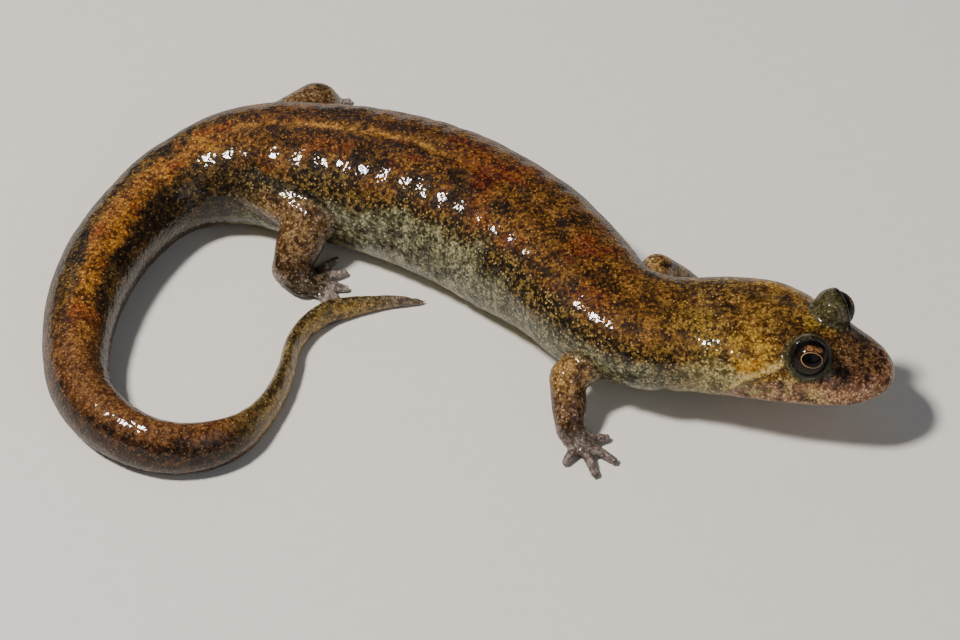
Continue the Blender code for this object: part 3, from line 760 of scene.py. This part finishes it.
# %% Coats of four tones
def linear(hex_colour):
    """sRGB to linear: c / 12.92 under 0.04045, else ((c + 0.055) / 1.055) to the 2.4."""
    value = np.array([int(hex_colour[k:k + 2], 16) for k in (1, 3, 5)]) / 255
    value = np.where(value <= 0.04045, value / 12.92, ((value + 0.055) / 1.055) ** 2.4)
    return (*value.tolist(), 1.0)


TONE_NAMES = ("tone_dark", "tone_middle", "tone_light", "tone_fleck")
tones = np.zeros((4, len(points), 3))


def coat(mask, colours):
    """Lays four colours, dark to fleck, over the tones: old * (1 - mask) + new * mask."""
    cover = np.clip(mask, 0.0, 1.0)[:, None]
    for tone, colour in zip(tones, colours.split()):
        tone += cover * (np.array(linear(colour)[:3]) - tone)


def patches(size, seed, low, high):
    """Soft random patches of a size in millimetres: 0 under low, 1 over high."""
    return fade(lumps(points, size, seed) + 0.4 * lumps(points, size * 0.45, seed + 50), low, high)


print("tones for", tones.shape[1], "corners")

# %% Masks over the body
s = nearest_on_spine(points)
side, upright, _, half, rise = on_section(points, s)
top_half = upright > 0
ragged = 0.16 * lumps(points, 2.4, 11) + 0.10 * lumps(points, 1.0, 12)
level = rise + ragged
back = fade(level, 0.5, 0.75)
head, tail = fade(s, 22.0, 16.0), fade(s, 66.0, 74.0)
loop, tip = fade(s, 92.0, 104.0), fade(s, 118.0, 126.0)
print("head and tail corners:", int(head.sum()), int(tail.sum()))

# %% Masks over the limbs
height = points[:, 2]
limb_gap = from_limbs(points)
palm_gap = np.linalg.norm(points[:, None] - PALMS[None], axis=2).min(axis=1)
off_body = np.abs(side) - half
pad_edge = fade(palm_gap, 2.7, 2.3) * fade(off_body, 0.0, 0.5)
low_limb = fade(height, 2.0, 1.2) * np.maximum(fade(limb_gap, 0.3, 0.05), pad_edge)
limb = np.maximum(fade(limb_gap, 0.55, 0.1) * fade(off_body, -0.6, 0.6), low_limb)
foot = limb * fade(height, 2.6, 1.5) * fade(palm_gap, 8.0, 7.0)
toe = foot * fade(palm_gap, 1.8, 3.0)
thigh = limb * fade(points[:, 0], 0.0, -5.0)
arm = limb - thigh
print("limb and foot corners:", int(limb.sum()), int(foot.sum()))

# %% [markdown]
# The trunk is rust brown and clouded with dark on top, and a thin gold line runs along its
# hind part. Under that a dark speckled band breaks up into the grey green flank, and the
# belly is pale and plain.

# %% Paint the trunk
PALE_EDGE = np.array((  # from the snout, level where the pale flank begins
    (20.0, 0.38), (33.0, 0.46), (40.0, 0.52), (46.0, 0.58), (52.0, 0.54), (56.0, 0.42),
    (60.0, 0.28), (68.0, 0.3),
))
coat(np.ones(len(points)), "#261406 #613c10 #9a6c2c #cc9640")
rusty = back * (1 - 0.5 * fade(s, 50.0, 58.0))
coat(0.85 * rusty * patches(3.0, 21, 0.0, 0.6) * fade(s, 20.0, 26.0),
     "#2c1005 #6a3510 #94581e #c0863c")
coat(0.8 * rusty * patches(2.0, 25, 0.35, 0.7) * fade(s, 26.0, 32.0),
     "#300c05 #6a2610 #8c421a #b47232")
coat(back * patches(1.9, 22, 0.2, 0.6), "#120a04 #2f1c0b #654418 #a0722c")
coat(fade(level, 0.84, 0.62), "#0f0a05 #32220f #8d7136 #d6bc7c")
pale_edge = smooth(s, PALE_EDGE, 1)
pale = (0.62 + 0.33 * fade(s, 33.0, 42.0)) * fade(level, pale_edge + 0.06, pale_edge - 0.2)
coat(pale, "#33321d #7c7a55 #b3b18e #d6d5ba")
coat(fade(level, pale_edge, pale_edge - 0.25) * patches(0.9, 23, 0.1, 0.5),
     "#15120a #3c3822 #78744f #a8a683")
coat(fade(level, -0.4, -0.7), "#6c6643 #9c956e #bfb894 #d6d1b4")
# Painted shade: the costal grooves are darkened where shade falls in them.
groove_shade = bump(s[:, None] - GROOVES, 0.3).sum(axis=1) * bump(rise - 0.2, 0.42) * on_body
coat(0.65 * groove_shade, "#0d0a06 #2c2718 #57523a #8a8460")
# Painted shade in the crease where each limb grows from the body.
coat(crease * (1 - limb), "#120d07 #2e2718 #57503a #7c765a")
rear = fade(s, 44.0, 54.0) * fade(s, 80.0, 74.0) * top_half
coat(0.8 * rear * bump(np.abs(side) - 1.3, 0.75), "#170d05 #3a210d #6b4519 #a8762c")
coat(1.2 * rear * bump(side, 0.34) * patches(0.7, 24, -0.5, 0.1), "#6a4418 #b07c30 #d0a04c #efcb80")
coat(0.5 * bump(s - 20.0, 4.0) * back, "#3a2208 #72501c #a67c30 #cc9a44")
print("trunk painted, middle tone", np.round(tones[1].mean(axis=0), 3))

# %% [markdown]
# The tail carries an ochre stripe with black blotches along its right edge. Noise added to
# the half width of the stripe frays it. The loop is brown, with painted shade down its
# sides, the end is olive with a worn tip, and the underside is paler.

# %% Paint the tail
BAR_PITCH = 2.6
half_stripe = 1.35 + 0.9 * lumps(points, 2.6, 31) + 0.5 * lumps(points, 1.1, 32)
to_stripe = np.abs(side + 0.8)
bars = 0.5 + 0.5 * np.cos((s - 66.5) * 2 * np.pi / BAR_PITCH + 1.5 * lumps(points, 3.0, 34))
coat(tail, "#120b05 #33220f #66502a #a08448")
coat(tail * bars * fade(s, 84.0, 76.0) * fade(level, 0.9, 0.5),
     "#0c0804 #1f150a #4a381b #80673a")
beside = tail * fade(to_stripe, half_stripe + 2.2, half_stripe + 0.4) * top_half
coat(beside * patches(1.3, 35, -0.2, 0.4), "#2a1a08 #644518 #94702f #c8a050")
stripe = tail * fade(to_stripe, half_stripe + 0.3, half_stripe - 0.3) * top_half
coat(stripe, "#40220a #8f5a1c #bf8736 #e6b862")
coat(stripe * patches(2.4, 33, 0.1, 0.6), "#3c1606 #823e12 #aa6226 #cc8c3c")
edge = bump(side + 2.5, 1.0) * fade(s, 68.0, 72.0) * fade(s, 112.0, 100.0) * top_half
coat(1.3 * edge * patches(1.5, 37, -0.1, 0.3), "#0a0603 #1c1209 #4a3519 #86683a")
coat(loop * fade(level, -0.1, 0.4), "#3e220e #6b4520 #8e6236 #ae865a")
# Painted shade: the loop is darkened down its sides, below its top.
coat(loop * fade(level, 0.9, 0.6), "#120904 #321c0d #5a3c1e #8c6c44")
coat(tip, "#543c14 #937432 #b8994e #d6bc74")
coat(tip * fade(rise, 0.6, 0.9), "#2c2110 #66522e #94804e #b8a67e")
coat(tip * patches(1.0, 36, 0.3, 0.7), "#1c1408 #44351a #74602f #a08a4e")
coat(fade(s, 141.0, 147.0), "#40352a #776856 #9c8d78 #beb09a")
coat(tail * fade(level, -0.7, -0.95), "#4c3e22 #7a6a44 #9c8b62 #b8a880")
print("tail painted, stripe corners:", int(stripe.sum()))

# %% [markdown]
# The head is yellow over the jaw muscle, grey green under it and brown on the muzzle, with
# a pinkish lip that is highest under the eye. A pale line runs from the eye down behind the
# corner of the mouth, as on all salamanders of this kind. The lids are dark and shine.

# %% Paint the head
coat(head, "#241304 #664515 #9c7736 #dcb964")
coat(head * patches(2.0, 44, 0.0, 0.4), "#2c2006 #80641a #b6943c #e2c46c")
coat(head * patches(1.2, 41, 0.15, 0.5), "#140a04 #34200c #6c4a1e #a8803c")
jaw = head * bump(s - 12.2, 2.2) * bump(rise - 0.5, 0.34)
coat(1.3 * jaw * patches(1.6, 42, -0.9, 0.1), "#7a4c0c #c4922e #e2b850 #f4d680")
cheek = head * fade(s, 10.0, 12.5)
coat(cheek * fade(level, 0.58, 0.36), "#4a3f1a #8c7d4a #beb07c #e2d6aa")
coat(cheek * fade(level, 0.62, 0.3) * patches(0.9, 46, 0.2, 0.6), "#2c2410 #5c4f2a #8c7d50 #b8a878")
muzzle = 0.8 * head * fade(s, 6.4, 3.4) * fade(rise, 0.0, 0.4)
coat(muzzle, "#2a180c #664630 #967050 #c09c78")
coat(muzzle * fade(level, 0.78, 0.92), "#1a0d06 #4c3218 #7e5e34 #ac884e")
lip_top = 1.0 + 2.2 * bump(s - 6.5, 5.5) + ragged
lip = head * fade(over_line - lip_top, 0.3, -0.3) * fade(s, 15.0, 13.0)
coat(lip, "#3c2416 #7c583c #ac8664 #d0ac8c")
coat(lip * fade(over_line, 2.2, 1.5), "#5c3a22 #9c7250 #cca684 #e8ccb0")
coat(lip * fade(s, 3.0, 6.0) * patches(0.8, 47, 0.1, 0.5), "#64501f #a88c52 #d0b886 #eadcb4")
coat(lip * patches(0.7, 48, 0.3, 0.6), "#24150a #5c3c22 #90684a #b8906c")
print("head painted, lip corners:", int(lip.sum()))

# %% Paint the face
SPOT = (3.8, 2.35, 9.0)  # the dark spot before the eye
CHEEK_LINE = np.array((  # from the snout, height of the pale line
    (8.6, 10.05), (9.8, 9.5), (11.0, 9.1), (12.3, 8.55), (13.4, 7.7), (14.4, 6.8),
))
dark_spot = bump(from_pair(*SPOT), 0.85) * patches(0.6, 43, -1.3, -0.3)
coat(1.5 * dark_spot, "#080402 #160d07 #36220f #6c4e30")
over_cheek_line = height - smooth(s, CHEEK_LINE, 1)
cheek_line = fade(s, 8.4, 8.9) * fade(s, 14.8, 13.8)
coat(0.9 * cheek_line * bump(over_cheek_line + 0.48, 0.2), "#1c1008 #4a2f1a #7c5a3c #b08c66")
coat(1.2 * cheek_line * bump(over_cheek_line, 0.3), "#8c6e30 #c4a962 #e2cc8c #f6e8ba")
coat(head * mouth * bump(over_line + 0.1, 0.25), "#4a2216 #824832 #a8704e #c08e6c")
coat(head * fade(over_line, -0.3, -0.7), "#7a6440 #a89166 #c4b086 #dacaa4")
lid = fade(eye_distances(points).min(axis=0), 2.55, 2.2)
coat(lid, "#2a2610 #474228 #6a6242 #9c9468")
# Painted shade: the inner edge of the lid, in the gap round the eyeball, is made nearly black.
coat(lid * fade(eye_angle, 82.0, 74.0), "#0c0a06 #1e1a10 #3a3522 #6a6446")
coat(0.6 * bump(pit_gap, 0.7), "#2c130c #5a2c20 #86503c #a87860")
# Painted shade: the pit of each nostril is filled with near black, for the shade inside its
# opening.
coat(1.3 * bump(pit_gap, PIT_WIDTH), "#050202 #0a0504 #140a06 #1e100a")
print("face painted, lid corners:", int(lid.sum()))

# %% [markdown]
# The limbs are clay brown, darker below. Hands and feet turn grey mauve, with paler toes
# and soles, because the skin is thin there.

# %% Paint the limbs
coat(thigh, "#3e2814 #775936 #a88a5e #d8bc90")
coat(thigh * fade(height, 4.6, 3.0), "#28180d #503824 #7a6044 #ae9674")
coat(arm, "#4a3010 #94703a #c29c62 #ecd09a")
coat(arm * fade(height, 5.2, 3.8), "#2e1a0d #5f412a #8c6a4e #c0a288")
coat(limb * patches(0.9, 51, 0.2, 0.6), "#1c1008 #432c14 #6c4e2f #9c7e58")
coat(foot, "#1e160e #463829 #74654f #aa9c86")
coat(foot * arm, "#463a33 #6d5f57 #8f827a #b9aea6")
coat(toe * arm, "#4c423d #7c6f69 #9c908a #cbc0ba")
coat(toe * thigh, "#5e524d #96887f #b8aca4 #dcd3cc")
coat(foot * arm * fade(palm_gap, 3.7, 4.6), "#332a26 #5a4f49 #80756e #a89d96")
coat(foot * fade(height, 0.3, 0.1), "#6b6050 #8d8270 #a59a88 #b5aa98")
for name, tone in zip(TONE_NAMES, tones):
    layer = skin.data.attributes.new(name, "FLOAT_COLOR", "POINT")
    layer.data.foreach_set("color", np.column_stack([tone, np.ones(len(tone))]).ravel())
print("tones:", [np.round(tone.mean(axis=0), 3).tolist() for tone in tones])

# %% [markdown]
# ## Wet skin
#
# A salamander's skin is thin and bare, and its glands keep it wet. Under a film of slime
# lie grains a fifth of a millimetre wide, some dark and some light. So the finish is a half
# rough base, raised by its grains, under a clear coat. The coat is smooth, with slow waves
# of its own that break the highlights into sparks. It is weaker where the skin turns away
# from the eye, because a full coat would lay a grey sheen over the colours of the flank.
#
# The grains come from Voronoi cells, bent a little by noise so that they don't look cut.
# Each cell has a random number of its own: added to softer noise, it says which of the
# four tones the grain takes. The finest specks of a real skin are too small to show at
# this distance, so none is drawn finer than 0.2 mm.

# %% A short way to add nodes
def add(tree, kind, settings=None, **links):
    """Adds a shader node with its settings. Each link names an input socket, with _ for a
    space or n and a number, and gives a value or the output that feeds it. Returns the
    node's outputs."""
    node = tree.nodes.new("ShaderNode" + kind)
    for key, value in (settings or {}).items():
        setattr(node, key, value)
    for key, value in links.items():
        socket = node.inputs[int(key[1:]) if key[1:].isdigit() else key.replace("_", " ")]
        if isinstance(value, bpy.types.NodeSocket):
            tree.links.new(value, socket)
        else:
            socket.default_value = value
    return node.outputs


def new_material(name):
    """A material of this name, and its empty node tree."""
    material = bpy.data.materials.new(name)
    material.use_nodes = True
    material.node_tree.nodes.clear()
    return material, material.node_tree


SOFT_EDGE = {"interpolation_type": "SMOOTHSTEP"}
COLOURS = {"data_type": "RGBA"}
PRODUCT = {"operation": "MULTIPLY"}
PRODUCT_PLUS = {"operation": "MULTIPLY_ADD"}

# %% Grains and clumps
GRAIN_MM, CLUMP_MM, BLOTCH_MM = 0.2, 0.42, 1.3
BEND_MM, BENT_BY_MM = 0.4, 0.16
NOISE_ROUGHNESS = 0.55
wet_skin, tree = new_material("wet_amphibian_skin")
here = add(tree, "TexCoord")["Object"]
bend = add(tree, "TexNoise", Vector=here, Scale=1 / (BEND_MM * MM), Detail=1.0)["Color"]
bent = add(tree, "VectorMath", PRODUCT_PLUS, n0=bend, n1=(BENT_BY_MM * MM,) * 3, n2=here)["Vector"]
grains = add(tree, "TexVoronoi", {"feature": "F1"}, Vector=bent, Scale=1 / (GRAIN_MM * MM))
chance = add(tree, "SeparateColor", Color=grains["Color"])
bead = add(tree, "MapRange", SOFT_EDGE, Value=grains["Distance"], From_Min=0.75, From_Max=0.15)[0]
clump, blotch = (add(tree, "TexNoise", Vector=here, Scale=1 / (size * MM), Detail=2.0,
                     Roughness=NOISE_ROUGHNESS)["Fac"] for size in (CLUMP_MM, BLOTCH_MM))
print("grains of", GRAIN_MM, "mm,", len(tree.nodes), "nodes so far")

# %% Pick the tone of each grain
OWN_SHARE, CLUMP_SHARE, BLOTCH_SHARE = 0.9, 3.1, 1.8
MIDDLE_VALUE = 0.54
value = MIDDLE_VALUE - (OWN_SHARE + CLUMP_SHARE + BLOTCH_SHARE) / 2
for part, share in ((chance[0], OWN_SHARE), (clump, CLUMP_SHARE), (blotch, BLOTCH_SHARE)):
    value = add(tree, "Math", PRODUCT_PLUS, n0=part, n1=share, n2=value)[0]
dark, middle, light, fleck = (add(tree, "Attribute", {"attribute_name": name})["Color"]
                              for name in TONE_NAMES)
colour = dark
for tone, low, high in ((middle, 0.0, 0.5), (light, 0.5, 1.1)):
    cover = add(tree, "MapRange", SOFT_EDGE, Value=value, From_Min=low, From_Max=high)[0]
    colour = add(tree, "Mix", COLOURS, n0=cover, n6=colour, n7=tone)[2]
between_beads = add(tree, "MapRange", Value=bead, To_Min=0.6, To_Max=0.0)[0]
colour = add(tree, "Mix", COLOURS, n0=between_beads, n6=colour, n7=dark)[2]
# One grain in ten is a bright fleck, and one in ten a dark dot.
for tone, number, low, high, share in ((fleck, 1, 0.3, 0.8, 0.55), (dark, 2, 0.2, 0.7, 0.8)):
    rare = add(tree, "Math", {"operation": "GREATER_THAN"}, n0=chance[number], n1=0.9)[0]
    dot = add(tree, "MapRange", SOFT_EDGE, Value=bead, From_Min=low, From_Max=high, To_Max=share)[0]
    cover = add(tree, "Math", PRODUCT, n0=rare, n1=dot)[0]
    colour = add(tree, "Mix", COLOURS, n0=cover, n6=colour, n7=tone)[2]
print("tone picked with", len(tree.nodes), "nodes")

# %% The film of water
FILM_WAVE_MM = 0.4
WATER_IOR = 1.38
raised = add(tree, "Bump", Strength=0.7, Distance=0.04 * MM, Height=bead)["Normal"]
waves = add(tree, "TexNoise", Vector=here, Scale=1 / (FILM_WAVE_MM * MM), Detail=0.3,
            Roughness=NOISE_ROUGHNESS)["Fac"]
film = add(tree, "Bump", Strength=1.0, Distance=0.05 * MM, Height=waves)["Normal"]
rough = add(tree, "Math", PRODUCT_PLUS, n0=clump, n1=0.3, n2=0.3)[0]
slant = add(tree, "LayerWeight", Blend=0.5)["Facing"]
gloss = add(tree, "MapRange", SOFT_EDGE, Value=slant, From_Min=0.5, From_Max=0.95, To_Min=0.85,
            To_Max=0.15)[0]
shader = add(tree, "BsdfPrincipled", Base_Color=colour, Roughness=rough, IOR=WATER_IOR,
             Specular_IOR_Level=0.12, Coat_Weight=gloss, Coat_Roughness=0.07, Coat_IOR=WATER_IOR,
             Normal=raised, Coat_Normal=film)
add(tree, "OutputMaterial", Surface=shader["BSDF"])
skin.data.materials.append(wet_skin)
print("skin nodes:", len(tree.nodes))

# %% [markdown]
# ## The eyeballs
#
# An eyeball is a ball whose clear front bulges a little. The bulge is a bell added to the
# radius round the line of sight. Its measures across the iris are stored on it for the
# material: how far a point lies forward and how far up, in millimetres.

# %% Make the eyeballs
CORNEA_BULGE, CORNEA_DEGREES = 0.08, 38.0
EYE_RINGS, EYE_AROUND = 48, 96


def eyeball(middle, sight, ahead, brow):
    """Radius at the angle b from the line of sight: R + bulge * e to the -(b / 38 deg)
    squared; the point is the middle plus that times the direction."""
    axes = np.stack([ahead, brow, sight])
    b, way = ball(EYE_RINGS, EYE_AROUND)
    radius = EYE_RADIUS + CORNEA_BULGE * bump(np.degrees(b), CORNEA_DEGREES)
    grid = middle + radius[..., None] * (way @ axes)
    poles = middle + (EYE_RADIUS + CORNEA_BULGE) * sight, middle - EYE_RADIUS * sight
    corners, quads, triangles = closed_grid(grid, *poles)
    return corners, quads.tolist() + triangles.tolist(), (corners - middle) @ axes.T


eyes = []
for name, axes in EYES.items():
    corners, faces, gaze = eyeball(*axes)
    eye = add_piece("eyeball_" + name, corners, faces)
    rework(eye.data, lambda work: bmesh.ops.recalc_face_normals(work, faces=work.faces))
    layer = eye.data.attributes.new("gaze", "FLOAT_VECTOR", "POINT")
    layer.data.foreach_set("vector", gaze.astype(np.float32).ravel())
    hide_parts("eye_" + name)
    eyes.append(eye)
print("eyeballs:", [eye.name for eye in eyes])

# %% [markdown]
# ## The eye's colours
#
# The clear cornea covers a dark iris with a metallic fleck of copper over the pupil, and
# the pupil is a lying oval with a thin ring of gold. On the model both are one surface: the
# colour is drawn from the measures stored on the globe, and a smooth clear coat stands for
# the cornea.

# %% Iris, pupil and cornea
PUPIL = (0.92, 0.66)
FIBRE_MM = 0.16
clear_eye, tree = new_material("clear_cornea_over_iris")
gaze = add(tree, "Attribute", {"attribute_name": "gaze"})["Vector"]
forward, up, _ = add(tree, "SeparateXYZ", Vector=gaze)
aside = add(tree, "Math", {"operation": "ABSOLUTE"}, n0=forward)[0]
here = add(tree, "TexCoord")["Object"]
fibre = add(tree, "TexNoise", Vector=here, Scale=1 / (FIBRE_MM * MM), Detail=3.0,
            Roughness=NOISE_ROUGHNESS)["Fac"]
# How far out from the iris's middle, in mm, and in widths of the oval pupil.
flat = [add(tree, "VectorMath", PRODUCT, n0=gaze, n1=scale)["Vector"]
        for scale in ((1.0, 1.0, 0.0), (1 / PUPIL[0], 1 / PUPIL[1], 0.0))]
out, oval = (add(tree, "VectorMath", {"operation": "LENGTH"}, n0=spread)["Value"]
             for spread in flat)
IRIS_LAYERS = (
    ("#2e1a0c", ((fibre, 0.4, 0.65),)),
    ("#9c6c42", ((up, 0.7, 0.85), (up, 1.25, 1.0), (aside, 0.95, 0.5), (fibre, 0.38, 0.58))),
    ("#c09868", ((oval, 0.98, 1.01), (oval, 1.09, 1.04))),
    # The dark outer ring: partly the iris's own dark edge, partly painted shade where the lid
    # overhangs the eyeball.
    ("#030202", ((oval, 1.03, 0.98),)),
    ("#040303", ((out, 1.25, 1.36),)),
)
iris = linear("#0e0804")
for hex_colour, edges in IRIS_LAYERS:
    cover = 1.0
    for measure, low, high in edges:
        inside = add(tree, "MapRange", SOFT_EDGE, Value=measure, From_Min=low, From_Max=high)[0]
        cover = add(tree, "Math", PRODUCT, n0=cover, n1=inside)[0]
    iris = add(tree, "Mix", COLOURS, n0=cover, n6=iris, n7=linear(hex_colour))[2]
print("iris of", len(IRIS_LAYERS), "layers")

# %% The clear front of the eye
slant = add(tree, "LayerWeight", Blend=0.5)["Facing"]
clear = add(tree, "MapRange", SOFT_EDGE, Value=slant, From_Min=0.3, From_Max=0.8, To_Min=0.5,
            To_Max=0.1)[0]
shader = add(tree, "BsdfPrincipled", Base_Color=iris, Roughness=0.5, IOR=WATER_IOR,
             Specular_IOR_Level=0.05, Coat_Weight=clear, Coat_Roughness=0.02, Coat_IOR=WATER_IOR)
add(tree, "OutputMaterial", Surface=shader["BSDF"])
for eye in eyes:
    eye.data.materials.append(clear_eye)
print("eye nodes:", len(tree.nodes))

# %% [markdown]
# ## The studio
#
# A plain pale floor, a small bright light high on the left for the wet highlights, two
# weaker and wider ones for the sides, and a camera as far away and as high as the
# photograph's. The floor is matt card: rough and hardly mottled, so it shows soft shadows
# and draws no eye.

# %% Floor
FLOOR = 1.2
FLECK_MM = 1.5
floor_mesh = bpy.data.meshes.new("floor")
corners = [(-FLOOR, -FLOOR, 0), (FLOOR, -FLOOR, 0), (FLOOR, FLOOR, 0), (-FLOOR, FLOOR, 0)]
floor_mesh.from_pydata(corners, [], [(0, 1, 2, 3)])
floor = bpy.data.objects.new("floor", floor_mesh)
bpy.context.scene.collection.objects.link(floor)
pale_card, tree = new_material("matt_pale_card")
here = add(tree, "TexCoord")["Object"]
mottle = add(tree, "TexNoise", Vector=here, Scale=1 / (FLECK_MM * MM), Detail=3.0,
             Roughness=NOISE_ROUGHNESS)["Fac"]
card = add(tree, "Mix", COLOURS, n0=mottle, n6=linear("#e4e2dd"), n7=linear("#ebe9e5"))[2]
shader = add(tree, "BsdfPrincipled", Base_Color=card, Roughness=0.9, IOR=1.45)
add(tree, "OutputMaterial", Surface=shader["BSDF"])
floor.data.materials.append(pale_card)
print("floor:", 2 * FLOOR, "m wide")

# %% Camera and lights
AIM = (ORIGIN + (0.0, 0.0, 5.0)) * MM
DISTANCE = 0.40
ELEVATION = math.radians(45.0)
camera_data = bpy.data.cameras.new("camera")
camera_data.lens, camera_data.sensor_width = 165.0, 36.0
camera_data.clip_start, camera_data.clip_end = 0.01, 20.0
camera = bpy.data.objects.new("camera", camera_data)
camera.location = AIM + DISTANCE * np.array((0.0, -math.cos(ELEVATION), math.sin(ELEVATION)))
camera.rotation_euler = (math.pi / 2 - ELEVATION, 0.0, 0.0)
bpy.context.scene.collection.objects.link(camera)
bpy.context.scene.camera = camera

LIGHTS = {  # place in m, width in m, power in W, colour
    "key": ((-0.24, -0.10, 0.46), 0.07, 3.6, "#fff7ee"),
    "fill": ((0.35, -0.45, 0.35), 0.50, 0.6, "#f4f6ff"),
    "back": ((-0.20, 0.45, 0.40), 0.40, 0.15, "#f4f4ff"),
}
for name, (spot, width, power, hex_colour) in LIGHTS.items():
    light_data = bpy.data.lights.new(name, "AREA")
    light_data.size, light_data.energy = width, power
    light_data.color = linear(hex_colour)[:3]
    light = bpy.data.objects.new(name, light_data)
    light.location = spot
    aim = mathutils.Vector(AIM.tolist()) - light.location
    light.rotation_euler = aim.to_track_quat("-Z", "Y").to_euler()
    bpy.context.scene.collection.objects.link(light)
world = bpy.data.worlds.new("pale_room")
world.use_nodes = True
backdrop = world.node_tree.nodes["Background"]
backdrop.inputs["Color"].default_value = linear("#e8ebf0")
backdrop.inputs["Strength"].default_value = 0.12
bpy.context.scene.world = world
print("camera at", [round(v, 4) for v in camera.location])
